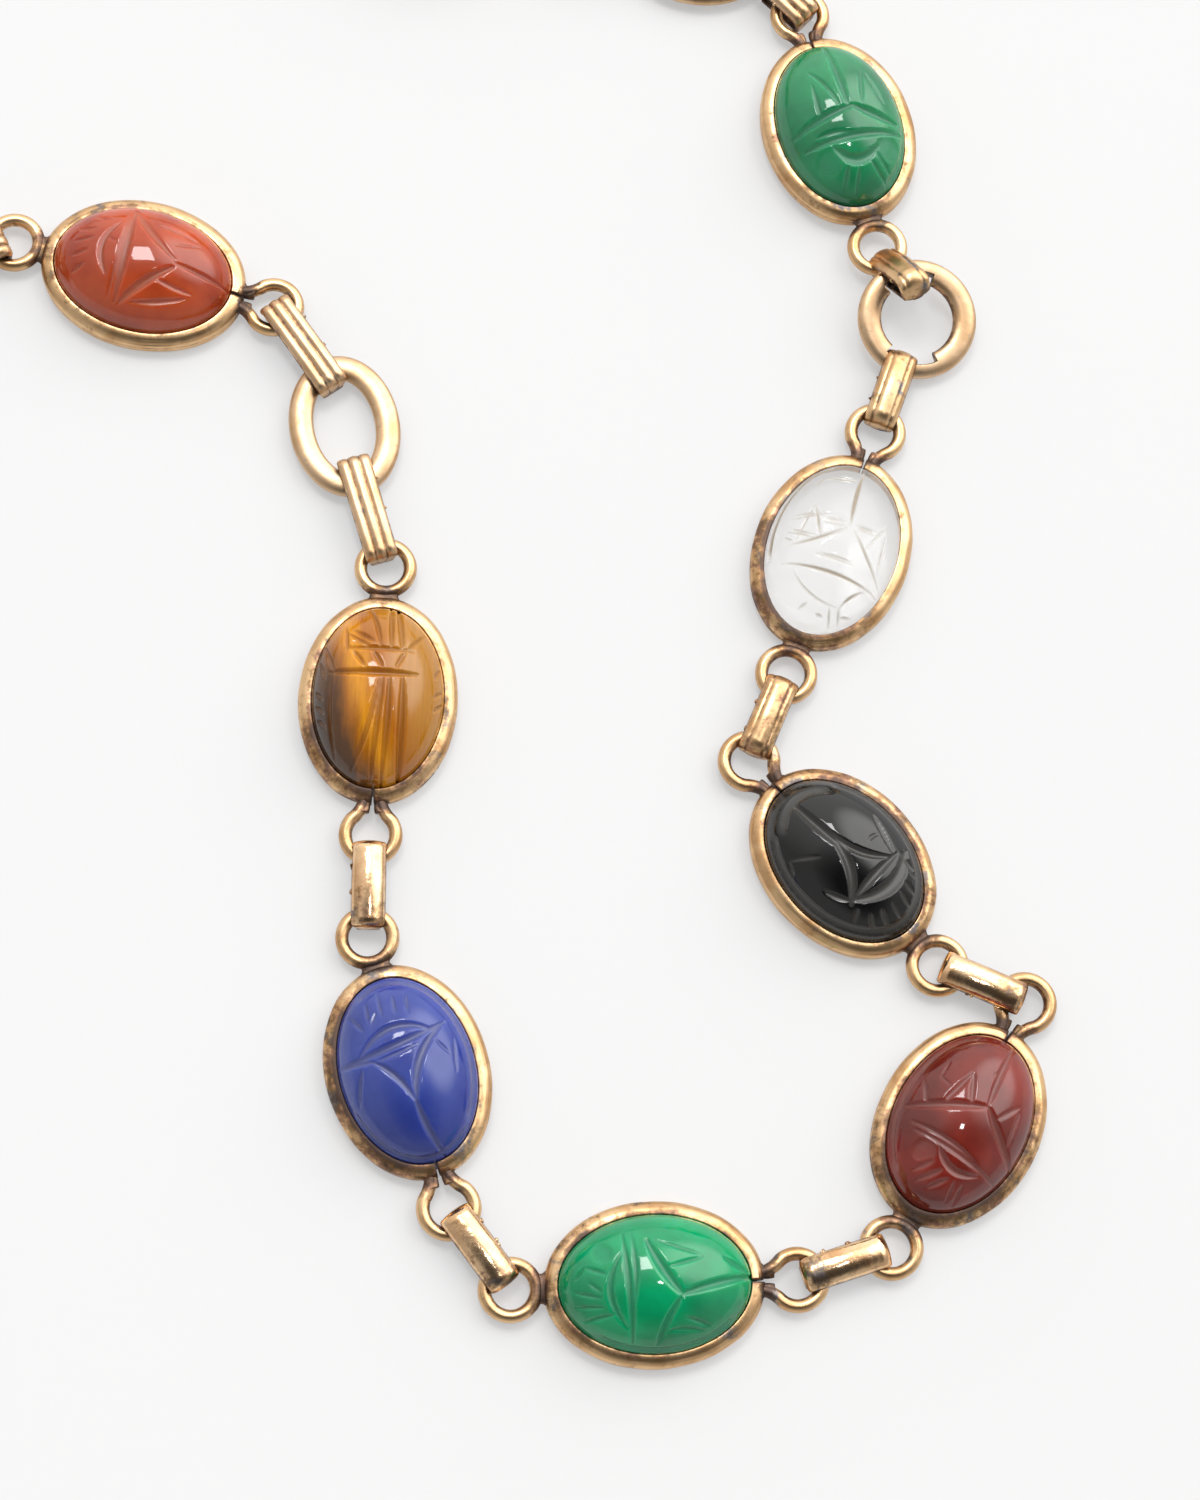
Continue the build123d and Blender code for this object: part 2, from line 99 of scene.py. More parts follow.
# The wheel's cuts in each stone. A plain row is a line in hundredths: x1, y1, x2, y2, bow, width.
# Its ends are shares of the stone's half sizes, with the head at x -1 and the tail at x +1. bow pushes its
# middle to its left, as a share of the half width, and its width is in mm.
# A line that runs along the stone's edge: its share of the way out, and its ends in degrees from the tail
Border = namedtuple("Border", "share first last width")
# A round dimple beside the head
Dimple = namedtuple("Dimple", "x y size")
CUTS = {
    "carnelian": (
        (-20, 76, -14, -70, 3, 62), (-25, 72, -22, -66, 5, 30), (-20, 76, 38, 5, -3, 40),
        (-16, 66, 30, 12, -3, 34), (38, -4, -10, -72, -2, 58), (36, 2, 92, -4, 0, 34), (8, 55, 52, 46, 2, 26),
        (32, 29, 56, 40, 0, 22), (22, -28, 62, -33, -2, 30), (2, -67, 57, -41, -4, 34),
        (-27, 48, -29, -38, -17, 44), (-39, 17, -22, 10, 0, 16), (-71, 4, -52, 14, 0, 26),
        (-69, -18, -54, -6, 0, 26), (-70, 24, -52, 30, 0, 26), (-66, -42, -54, -26, 0, 30),
        (-55, 50, -40, 48, 0, 24),
    ),
    "tiger eye": (
        (-41, 48, -41, -50, 0, 34), (-16, 56, -16, -68, 2, 46), (-14, 35, 90, 34, 2, 50),
        (-14, 17, 93, 11, 2, 42), (-14, 8, 91, -4, 0, 42), (-10, 3, 80, -31, 5, 38),
        (-14, -64, 70, -55, -5, 24), (-39, 37, -19, 24, 0, 28), (-40, -10, -20, 7, 0, 30),
        (-39, -38, -21, -19, 0, 32), (-46, -78, -16, -62, 0, 30), (-30, -83, -10, -74, 0, 22),
        (-93, 22, -41, 32, 2, 40), (-93, 12, -41, 17, 1, 34), (-88, -16, -41, 2, 3, 32),
        (-49, -8, -61, -38, 0, 32), (-43, -14, -57, -45, 0, 26), (-46, -22, -49, -40, 0, 24),
        (-64, -49, -38, -45, 0, 30), (-41, 40, -62, 62, 0, 24), (-5, 90, 4, 80, 0, 22),
        (8, 91, 18, 80, 0, 22), (-28, 86, -16, 80, 0, 22), (2, -86, 12, -76, 0, 24),
        (16, -85, 26, -74, 0, 24), (30, -82, 40, -70, 0, 24),
    ),
    "blue agate": (
        (-31, 66, -18, -86, 5, 48), (-17, 24, -12, -40, 2, 26), (-30, 62, 36, -1, -13, 52),
        (-12, -44, 36, -3, 6, 40), (-16, -86, -11, -40, 2, 36), (33, -2, 92, 15, -4, 44),
        (-27, 46, -21, -58, -21, 50), (-17, 46, 1, 61, 0, 22), (-9, -60, 24, -78, -2, 34),
        (-13, 72, 20, 62, 0, 20), (-70, 27, -49, 22, 0, 26), (-71, 8, -51, 5, 0, 26),
        (-77, -11, -52, -14, 0, 26), (-72, -30, -50, -34, 0, 24), (-64, -58, -44, -43, 0, 24),
        (-60, -18, -47, -32, 0, 20), Border(0.93, 40, 210, 0.5), Border(0.95, 285, 400, 0.3),
    ),
    "green agate": (
        (-32, 66, -25, -86, 2, 44), (-23, 66, -23, -30, 3, 30), (-9, 56, 24, -19, -3, 66),
        (23, -20, -2, -84, -2, 46), (22, -19, 97, 5, 3, 56), (-2, 56, 45, 33, 0, 24), (10, 19, 45, 31, 0, 28),
        (26, -48, 50, -60, 0, 28), (10, -66, 42, -66, 2, 30), (66, 30, 90, 10, 0, 40),
        (-33, 40, -30, -60, -20, 42), Dimple(-0.52, 0.4, 0.75), (-79, 6, -70, 22, 0, 24),
        (-68, 22, -49, 12, 0, 28), (-80, -10, -54, -20, 0, 24), (-78, -30, -52, -32, 0, 26),
        (-70, -49, -42, -42, 0, 30), (-66, 2, -54, -12, 0, 22), Border(0.94, 225, 330, 0.4),
    ),
    "dark red jasper": (
        (-34, 54, -41, -78, 3, 36), (-28, 62, -34, -42, 3, 36), (-16, 78, 19, -17, 2, 54),
        (20, -17, -18, -88, -2, 54), (20, -17, 90, -14, 3, 46), (-2, 41, 42, 22, 0, 36),
        (12, 4, 42, 21, 0, 34), (25, 60, 20, 40, 0, 20), (22, 58, 44, 56, 0, 20), (47, -3, 60, -10, 0, 20),
        (12, -35, 38, -58, 0, 26), (-4, -69, 33, -60, 0, 28), (-8, 57, 14, 74, 0, 28),
        (-36, 17, -42, -54, -17, 44), Dimple(-0.48, 0.3, 0.85), (-69, 30, -52, 12, 0, 34),
        (-77, 20, -55, -5, 0, 34), (-78, 2, -60, -18, 0, 34), (-79, -32, -59, -28, 0, 24),
        (-79, -43, -58, -40, 0, 28), Border(0.94, 20, 150, 0.4),
    ),
    "black onyx": (
        (-39, 44, -32, -52, 2, 50), (-38, 40, -36, -66, -21, 80), (-40, 47, 30, 3, -13, 58),
        (-30, -40, 30, 1, 12, 50), (5, 3, 77, 8, 2, 60), (16, 35, 35, 68, 0, 20), (35, 68, 20, 76, 0, 20),
        (-37, 44, -12, 61, 2, 34), (-28, -48, 12, -65, 0, 34), (-5, -30, -6, -50, 3, 22),
        (-56, -56, -34, -58, 0, 40), (-48, 44, -55, 60, 0, 34), (-84, 2, -66, 0, 0, 34),
        (-80, 24, -64, 18, 0, 36), (-74, 46, -60, 34, 0, 34), (-80, -18, -62, -20, 0, 34),
        (-74, -36, -58, -34, 0, 34), (-66, -56, -52, -50, 0, 32), Border(0.8, -40, 40, 0.7),
        Border(0.9, 40, 320, 0.5),
    ),
    "rock crystal": (
        (-42, 62, -38, -82, 3, 30), (-26, 24, -23, -40, 1, 20), (-23.5, 20, -20, -38, 1, 20),
        (-24, 64, 13, -10, -4, 26), (14, -16, -31, -82, 0, 24), (14, -12, 84, -5, 3, 34),
        (-17, 54, 27, 47, 0, 20), (-7, 23, 27, 46, 0, 24), (-9.5, 70, -9.5, 29, 0, 20),
        (-6, 70, -6.5, 29, 0, 20), (-16, 70, -18, 58, 0, 20), (4, 72, 21, 20, 0, 20), (9, 70, 20, 30, 0, 20),
        (11, 30, 12, -7, 0, 20), (14, 30, 17, -5, 0, 20), (49, 58, 61, 44, 0, 20), (61, 44, 69, -6, 0, 22),
        (14, -18, 17, -51, 0, 20), (17, -18, 20, -51, 0, 20), (-5, -42, 31, -62, 0, 18),
        (-19, -71, 23, -65, 0, 18), (-85, -33, -69, -24, 0, 20), (-79, -44, -66, -37, 0, 20),
        (-80, 17, -72, 8, 0, 20), (-79, -8, -79, -20, 0, 20), (-73, -42, -68, -58, 0, 20),
        (-66, -38, -41, -63, 3, 26), (-46, 44, -66, -38, -12, 20), Border(0.94, 20, 120, 0.35),
    ),
    "dull green agate": (
        (-31, 70, -36, -76, 2, 56), (-23, 50, -29, -4, 2, 34), (-12, 80, 0, -13, 2, 60),
        (1, -12, -25, -74, -2, 66), (2, -6, 84, -9, 0, 50), (2, 6, 53, 32, -4, 32), (-5, 38, 36, 34, 0, 30),
        (0, -28, 40, -44, 0, 28), (-2, -62, 38, -50, 0, 26), (-38, 32, -47, -34, -20, 74),
        Dimple(-0.51, 0.42, 1.05), Dimple(-0.51, -0.49, 1), (-80, 31, -60, 17, 0, 34),
        (-88, 15, -63, 0, 0, 30), (-84, -36, -60, -18, 0, 30), (-75, -44, -51, -28, 0, 30),
        Border(0.95, 200, 300, 0.4),
    ),
}
CUT_DEPTH, CUT_WIDTH = 0.2, 0.4      # a cut of this width is this deep, and a wider one deeper
DEEPEST = 1.6                         # as a share of that depth
CUT_SPREAD = 1.3                      # a cut's worn shoulders widen it
CUT_LEGS = 16                         # straight legs in a bowed cut
BORDER_DEPTH, BORDER_FADE = 0.14, 12  # mm, and degrees at each end
MEAN_RATIO = 0.85                     # between the oval's two half sizes
DIMPLE_DEPTH = 0.1
DEEPER = {"tiger eye": 1.5, "black onyx": 1.2}

# The stones in order, and the slot that each kind goes by
STONES = {
    "01": "carnelian", "02": "tiger eye", "03": "blue agate", "04": "green agate", "05": "dark red jasper",
    "06": "black onyx", "07": "rock crystal", "08": "dull green agate", "09": "tiger eye",
    "10": "dark red jasper", "11": "blue agate", "12": "carnelian", "13": "black onyx",
}

# The studio: directions in the tent, and how bright its far wall and its window are
CAMERA_OPENING, FAR_WALL, WINDOW_SIDE = (0.05, -0.44, 0.9), (0.1, 0.92, 0.38), (0.58, 0.45, 0.68)
TENT, WINDOW = 1.5, 2.4
# The photo's viewpoint, in mm and degrees
CAMERA_PLACE = (15.98, -72.58, 212.94)
CAMERA_TILT, CAMERA_LEAN, CAMERA_ROLL = 13.842, -2.79, 0.029
LONG_SIDE_PIXELS, FOCAL_PIXELS = 1500, 3080


# Materials
NOISE, RANGE, RAMP = "ShaderNodeTexNoise", "ShaderNodeMapRange", "ShaderNodeValToRGB"
MIX, MATH = "ShaderNodeMix", "ShaderNodeMath"
FACTOR, FIRST, SECOND = 0, 6, 7       # a colour mix's sockets


def linear(hex_colour):
    """An sRGB hex colour as linear red, green, blue and alpha."""
    parts = [int(hex_colour[i:i + 2], 16) / 255 for i in (1, 3, 5)]
    return tuple(c / 12.92 if c <= 0.04045 else ((c + 0.055) / 1.055) ** 2.4 for c in parts) + (1.0,)


def feed(tree, node, inputs):
    """Gives a node's inputs a value, an output, or another node's first live output."""
    for name, value in inputs.items():
        if isinstance(value, bpy.types.Node):
            value = next(output for output in value.outputs if output.enabled)
        if isinstance(value, bpy.types.NodeSocket):
            tree.links.new(value, node.inputs[name])
        else:
            node.inputs[name].default_value = value


def add(tree, kind, inputs=None, stops=(), **settings):
    """Adds a node with its settings and what feeds it. stops are a ramp's (place, hex colour) pairs."""
    node = tree.nodes.new(kind)
    for name, value in settings.items():
        setattr(node, name, value)
    feed(tree, node, inputs or {})
    if stops:
        elements = node.color_ramp.elements
        while len(elements) < len(stops):
            elements.new(0.5)
        for element, (place, colour) in zip(elements, stops):
            element.position = place
            element.color = linear(colour)
    return node


def start_material(name):
    """A new material, its tree and its shader."""
    material = bpy.data.materials.new(name)
    material.use_nodes = True
    return material, material.node_tree, material.node_tree.nodes["Principled BSDF"]


def in_millimetres(tree):
    """The place on the object in mm, so a noise of scale 0.5 has patches of about 2 mm."""
    place = add(tree, "ShaderNodeTexCoord").outputs["Object"]
    return add(tree, "ShaderNodeVectorMath", {0: place, 1: (1000, 1000, 1000)}, operation="MULTIPLY")


def rolled_gold(name, bright, warm, polish, dents=0.35):
    """Gold-filled brass: a skin of rose gold on brass, drawn, rolled, bent and soldered, then worn for years.

    It is browned where tarnish was left and lighter where it stands out, while painted shade darkens its low
    parts and edges, so the eye reads warm, uneven metal with a soft shine."""
    material, tree, shader = start_material(name)
    place = in_millimetres(tree)
    # soft clouds of colour about 3 mm across
    clouds = add(tree, NOISE, {"Vector": place, "Scale": 0.35, "Detail": 4.0, "Roughness": 0.6})
    body = add(tree, RAMP, {"Fac": clouds}, ((0.32, warm), (0.58, bright)))
    # the piece's own tarnish and painted shade, broken into patches from 1 mm down to fine rubbed flecks
    given = add(tree, "ShaderNodeAttribute", attribute_name="tarnish_and_shade").outputs["Fac"]
    flecks = add(tree, NOISE, {"Vector": place, "Scale": 1.0, "Detail": 9.0, "Roughness": 0.72})
    patches = add(tree, RANGE, {"Value": flecks, "From Min": 0.3, "From Max": 0.7})
    tarnish_and_shade = add(tree, MATH, {0: given, 1: patches}, operation="ADD")
    light = add(tree, RANGE, {"Value": tarnish_and_shade, "From Min": 0.72, "From Max": 1.05, "To Max": 0.85})
    heavy = add(tree, RANGE, {"Value": tarnish_and_shade, "From Min": 0.95, "From Max": 1.45})
    # a thin film of tarnish shows brown, pink and blue tints, in patches of about 2 mm
    tint = add(tree, NOISE, {"Vector": place, "Scale": 0.5, "Detail": 3.0})
    film = add(tree, RAMP, {"Fac": tint}, (
        (0.36, "#82603e"), (0.46, "#906858"), (0.56, "#846640"), (0.68, "#6b7480")))
    stained = add(tree, MIX, {FACTOR: light, FIRST: body, SECOND: film}, data_type="RGBA")
    stained = add(tree, MIX, {FACTOR: heavy, FIRST: stained, SECOND: linear("#5a4a42")}, data_type="RGBA")
    rough = add(tree, RANGE, {
        "Value": tarnish_and_shade, "From Min": 0.75, "From Max": 1.4, "To Min": polish, "To Max": 0.48})
    # dents and rub marks of about 1 mm, 0.06 mm deep
    wear = add(tree, NOISE, {"Vector": place, "Scale": 0.9, "Detail": 4.0, "Roughness": 0.55})
    bump = add(tree, "ShaderNodeBump", {"Height": wear, "Strength": dents, "Distance": 0.06 * MM})
    feed(tree, shader, {"Metallic": 1.0, "Base Color": stained, "Roughness": rough, "Normal": bump})
    return material


def polished_stone(name, face, deep, cut, roughness, milky, reach, worn=0.5):
    """A cabochon of chalcedony or jasper: ground, polished, and engraved with a small wheel.

    The polish mirrors the lights, the wheel leaves its cuts dull and paler, and light goes a little way into
    the stone, reach saying how far its red, green and blue go."""
    material, tree, shader = start_material(name)
    # clouds of colour about 4.5 mm across
    clouds = add(tree, NOISE, {"Vector": in_millimetres(tree), "Scale": 0.22, "Detail": 3.0})
    body = add(tree, RAMP, {"Fac": clouds}, ((0.35, deep), (0.62, face)))
    carved = add(tree, "ShaderNodeAttribute", attribute_name="carved").outputs["Fac"]
    dull = add(tree, RANGE, {"Value": carved, "From Max": 0.8, "To Max": worn})
    colour = add(tree, MIX, {FACTOR: dull, FIRST: body, SECOND: linear(cut)}, data_type="RGBA")
    rough = add(tree, RANGE, {"Value": carved, "From Max": 0.6, "To Min": roughness, "To Max": 0.38})
    feed(tree, shader, {
        "Base Color": colour, "Roughness": rough, "IOR": QUARTZ_IOR, "Subsurface Weight": milky,
        "Subsurface Radius": reach, "Subsurface Scale": 2.5 * MM})
    return material


def tiger_eye():
    """Tiger eye: quartz grown through fibres, cut across them and polished.

    Honey and brown bands cross it, and the fibres draw the light out into a sheen."""
    material, tree, shader = start_material("tiger eye")
    carved = add(tree, "ShaderNodeAttribute", attribute_name="carved").outputs["Fac"]
    # the stone's own map goes from 0 to 1 over its 14 mm and its 10 mm
    own = add(tree, "ShaderNodeUVMap", uv_map="stone")
    apart = add(tree, "ShaderNodeSeparateXYZ", {"Vector": own}).outputs
    # the bands waver over about 6 mm along the stone and 1.4 mm across it
    stretched = add(tree, "ShaderNodeMapping", {"Vector": own, "Scale": (3.0, 9.0, 1.0)})
    waves = add(tree, NOISE, {"Vector": stretched, "Scale": 0.8, "Detail": 5.0, "Roughness": 0.6})
    pushed = add(tree, MATH, {0: waves, 1: 0.32, 2: 0.2}, operation="MULTIPLY_ADD")
    slant = add(tree, MATH, {0: apart["X"], 1: -0.45}, operation="MULTIPLY")
    across = add(tree, MATH, {0: apart["Y"], 1: pushed}, operation="ADD")
    across = add(tree, MATH, {0: across, 1: slant}, operation="ADD")
    bands = add(tree, RAMP, {"Fac": across}, (
        (0.12, "#34241a"), (0.3, "#573618"), (0.42, "#a4620c"),
        (0.53, "#d68e14"), (0.68, "#a8620e"), (0.9, "#ae7624")))
    # real fibres are too fine to show, so they are drawn 0.14 mm apart
    drawn = add(tree, "ShaderNodeMapping", {"Vector": own, "Scale": (1.5, 70.0, 1.0)})
    threads = add(tree, NOISE, {"Vector": drawn, "Scale": 1.0, "Detail": 4.0})
    fine = add(tree, RAMP, {"Fac": threads}, ((0.25, "#b8b8b8"), (0.75, "#ffffff")))
    darker = add(tree, MIX, {FACTOR: 1.0, FIRST: bands, SECOND: fine},
                 data_type="RGBA", blend_type="MULTIPLY")
    body = add(tree, MIX, {FACTOR: 0.4, FIRST: bands, SECOND: darker}, data_type="RGBA")
    dull = add(tree, RANGE, {"Value": carved, "To Max": 0.35})
    colour = add(tree, MIX, {FACTOR: dull, FIRST: body, SECOND: linear("#84500f")}, data_type="RGBA")
    rough = add(tree, RANGE, {"Value": carved, "To Min": 0.06, "To Max": 0.34})
    feed(tree, shader, {
        "Base Color": colour, "Roughness": rough, "IOR": QUARTZ_IOR, "Subsurface Weight": 0.12,
        "Subsurface Radius": (1.0, 0.45, 0.1), "Subsurface Scale": 1.0 * MM})
    return material


def rock_crystal():
    """Rock crystal: clear quartz, polished, with its engraved lines left frosted.

    The board shows through it, and the lines stand out greyer and rough."""
    material, tree, shader = start_material("rock crystal")
    carved = add(tree, "ShaderNodeAttribute", attribute_name="carved").outputs["Fac"]
    rough = add(tree, RANGE, {"Value": carved, "From Max": 0.5, "To Max": 0.45})
    clear = add(tree, RANGE, {"Value": carved, "From Max": 0.6, "To Min": 0.75, "To Max": 0.25})
    solid = add(tree, RANGE, {"Value": carved, "From Max": 0.6, "To Min": 0.3, "To Max": 0.9})
    lines = add(tree, RANGE, {"Value": carved, "From Max": 0.6})
    tint = add(tree, MIX, {FACTOR: lines, FIRST: linear("#fbfaf8"), SECOND: linear("#94846c")},
               data_type="RGBA")
    feed(tree, shader, {
        "Base Color": tint, "Roughness": rough, "IOR": QUARTZ_IOR, "Transmission Weight": clear,
        "Alpha": solid})
    return material


ROSE_GOLD = rolled_gold("rolled rose gold", "#dfba8d", "#bb8f62", 0.3)
BRIGHT_GOLD = rolled_gold("polished rose gold", "#f0cda4", "#cfa276", 0.14, 0.8)
PALE_GOLD = rolled_gold("pale rolled gold", "#d5b592", "#c09b72", 0.36)
STONE_MATERIALS = {name: polished_stone(name, *looks) for name, looks in {
    "carnelian": ("#b24c24", "#903214", "#a65e48", 0.05, 0.8, (1.0, 0.25, 0.08)),
    "blue agate": ("#3a4a94", "#2a3a86", "#60648a", 0.05, 0.7, (0.3, 0.35, 1.0)),
    "green agate": ("#009460", "#00764c", "#1c8660", 0.05, 0.8, (0.2, 1.0, 0.5)),
    "dark red jasper": ("#7e2a20", "#5e1c14", "#885048", 0.05, 0.5, (1.0, 0.2, 0.1)),
    "black onyx": ("#0a0a0b", "#060606", "#484642", 0.03, 0.0, (1, 1, 1), 0.6),
    "dull green agate": ("#208658", "#166c46", "#44906e", 0.05, 0.8, (0.2, 1.0, 0.5)),
}.items()}
STONE_MATERIALS |= {"tiger eye": tiger_eye(), "rock crystal": rock_crystal()}


# Where each link lies, read from its solid
def read_solid(name):
    """A solid's corner points in mm, its surface's centre, and its axes from the flattest to the longest."""
    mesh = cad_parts[name].data
    points = np.empty(len(mesh.vertices) * 3)
    mesh.vertices.foreach_get("co", points)
    points = points.reshape(-1, 3) / MM
    mesh.calc_loop_triangles()
    corners = np.empty(len(mesh.loop_triangles) * 3, np.int32)
    mesh.loop_triangles.foreach_get("vertices", corners)
    triangles = points[corners.reshape(-1, 3)]
    sides = triangles[:, 1] - triangles[:, 0], triangles[:, 2] - triangles[:, 0]
    area = np.linalg.norm(np.cross(*sides), axis=1)
    middles = triangles.mean(1)
    centre = (middles * area[:, None]).sum(0) / area.sum()
    offsets = middles - centre
    axes = np.linalg.eigh((offsets * area[:, None]).T @ offsets)[1]
    return points, centre, axes


SOLIDS = {name: read_solid(name) for name in CHAIN}


def place_of(name):
    """A link's own axes, x forward along the chain and y to its left, and its lowest middle point."""
    at = CHAIN.index(name)
    points, centre, axes = SOLIDS[name]
    after = SOLIDS[CHAIN[(at + 1) % len(CHAIN)]][1]
    if name == "ring_round":
        # it has no long axis, so it faces the next link
        up = axes[:, 0] * np.sign(axes[2, 0])
        left = np.cross(up, after - centre)
    else:
        forward = axes[:, 2] * np.sign(axes[:, 2] @ (after - SOLIDS[CHAIN[at - 1]][1]))
        left = np.cross((0, 0, 1), forward)
    left /= np.linalg.norm(left)
    if name == "ring_round":
        forward = np.cross(left, up)
    turn = np.stack([forward, left, np.cross(forward, left)], 1)
    own = points @ turn
    low, high = own.min(0), own.max(0)
    return turn, turn @ np.array([(low[0] + high[0]) / 2, (low[1] + high[1]) / 2, low[2]])


# Meshes
def share(value, none, full):
    """How far a value has come from none to full, from 0 to 1."""
    return np.clip((value - none) / (full - none), 0, 1)


def round_turn(count):
    """Evenly spaced angles once round."""
    return np.linspace(0, 2 * pi, count, endpoint=False)


def arc(x, y, half_wide, half_tall, first, last, count):
    """Points along an oval, from one angle in degrees to another."""
    return [(x + half_wide * cos(a), y + half_tall * sin(a))
            for a in np.linspace(radians(first), radians(last), count)]


def cushion(angles, power_wide, power_tall):
    """A rounded oblong, as shares of its half width and half height."""
    wide, tall = np.cos(angles), np.sin(angles)
    return np.sign(wide) * np.abs(wide) ** power_wide, np.sign(tall) * np.abs(tall) ** power_tall


def grid_faces(rows, columns, close_columns=False):
    """Four-cornered faces between rows of points. Closing joins each row's last point to its first."""
    faces = []
    for r in range(rows - 1):
        for c in range(columns if close_columns else columns - 1):
            a, b, d = r * columns, (r + 1) * columns, (c + 1) % columns
            faces.append((a + c, b + c, b + d, a + d))
    return faces


def put_in_scene(name, data):
    """An object that holds the data, at the origin."""
    holder = bpy.data.objects.new(name, data)
    bpy.context.scene.collection.objects.link(holder)
    return holder


def turn_outwards(mesh):
    """Points every face of the mesh outwards."""
    work = bmesh.new()
    work.from_mesh(mesh)
    bmesh.ops.recalc_face_normals(work, faces=work.faces)
    work.to_mesh(mesh)
    work.free()


def make_piece(name, points, faces, place, material, node, values, uv=None):
    """A smooth mesh laid in its place, that rides on the chain and stands for the solid."""
    turn, origin = place
    mesh = bpy.data.meshes.new(name)
    laid = (np.asarray(points) @ turn.T + origin) * MM
    mesh.from_pydata(laid.tolist(), [], faces)
    mesh.update()
    for key, data in values.items():
        layer = mesh.attributes.new(key, "FLOAT", "POINT")
        layer.data.foreach_set("value", np.asarray(data, np.float32))
    if uv is not None:
        layer = mesh.uv_layers.new(name="stone")
        corner = np.empty(len(mesh.loops), np.int32)
        mesh.loops.foreach_get("vertex_index", corner)
        layer.data.foreach_set("uv", np.asarray(uv, np.float32)[corner].ravel())
    mesh.polygons.foreach_set("use_smooth", np.ones(len(mesh.polygons), bool))
    turn_outwards(mesh)
    mesh.materials.append(material)
    piece = put_in_scene(name, mesh)
    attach(piece, "root")
    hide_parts(node)


class Shape:
    """Points and faces gathered from several surfaces, with how tarnished or darkened by painted shade each
    point is.
    """

    def __init__(self):
        self.points, self.faces, self.tarnish_and_shade = [], [], []

    def join(self, points, faces, tarnish_and_shade):
        first = sum(len(p) for p in self.points)
        self.points.append(np.asarray(points, float).reshape(-1, 3))
        self.faces += [tuple(first + i for i in face) for face in faces]
        self.tarnish_and_shade.append(np.broadcast_to(tarnish_and_shade, len(self.points[-1])))

    def gathered(self):
        return np.concatenate(self.points), self.faces, np.concatenate(self.tarnish_and_shade)


# Stones
def line_depth(cut, x, y):
    """A bowed line, deepest in its middle and thin at both ends, as a wheel cuts it."""
    x1, y1, x2, y2, bow, width = np.array(cut) / 100
    start = np.array([x1, y1]) * (STONE_HALF, STONE_HALF * STONE_RATIO)
    end = np.array([x2, y2]) * (STONE_HALF, STONE_HALF * STONE_RATIO)
    along = end - start
    side = np.array([-along[1], along[0]]) / hypot(*along) * bow * STONE_HALF * STONE_RATIO
    steps = np.linspace(0, 1, CUT_LEGS + 1)
    track = start + steps[:, None] * along + (4 * steps * (1 - steps))[:, None] * side
    depth = np.zeros(len(x))
    for number, (a, b) in enumerate(zip(track, track[1:])):
        leg = b - a
        t = np.clip(((x - a[0]) * leg[0] + (y - a[1]) * leg[1]) / (leg @ leg), 0, 1)
        far = np.hypot(x - a[0] - t * leg[0], y - a[1] - t * leg[1])
        whole = (number + t) / CUT_LEGS
        taper = np.clip(np.sin(pi * (0.06 + 0.88 * whole)), 0, 1) ** 0.6
        half = width * CUT_SPREAD / 2 * taper
        deep = CUT_DEPTH * min(DEEPEST, width / CUT_WIDTH) * taper
        depth = np.maximum(depth, deep * np.clip(1 - (far / half) ** 2, 0, 1))
    return depth


def border_depth(cut, x, y):
    """A line along the stone's edge, that fades out over a few degrees at both ends."""
    out = np.hypot(x / DOME_HALF, y / DOME_HALF / STONE_RATIO)
    span = (np.degrees(np.arctan2(y / STONE_RATIO, x)) % 360 - cut.first) % 360
    inside = share(np.minimum(span, (cut.last - cut.first) - span), 0, BORDER_FADE)
    far = np.abs(out - cut.share) * DOME_HALF * MEAN_RATIO
    return BORDER_DEPTH * inside * np.clip(1 - (2 * far / cut.width) ** 2, 0, 1)


def dimple_depth(cut, x, y):
    """A flat-bottomed round hollow."""
    far = np.hypot(x - cut.x * STONE_HALF, y - cut.y * STONE_HALF * STONE_RATIO)
    return DIMPLE_DEPTH * np.clip(1 - (far / cut.size) ** 4, 0, 1)


DEPTHS = {tuple: line_depth, Border: border_depth, Dimple: dimple_depth}


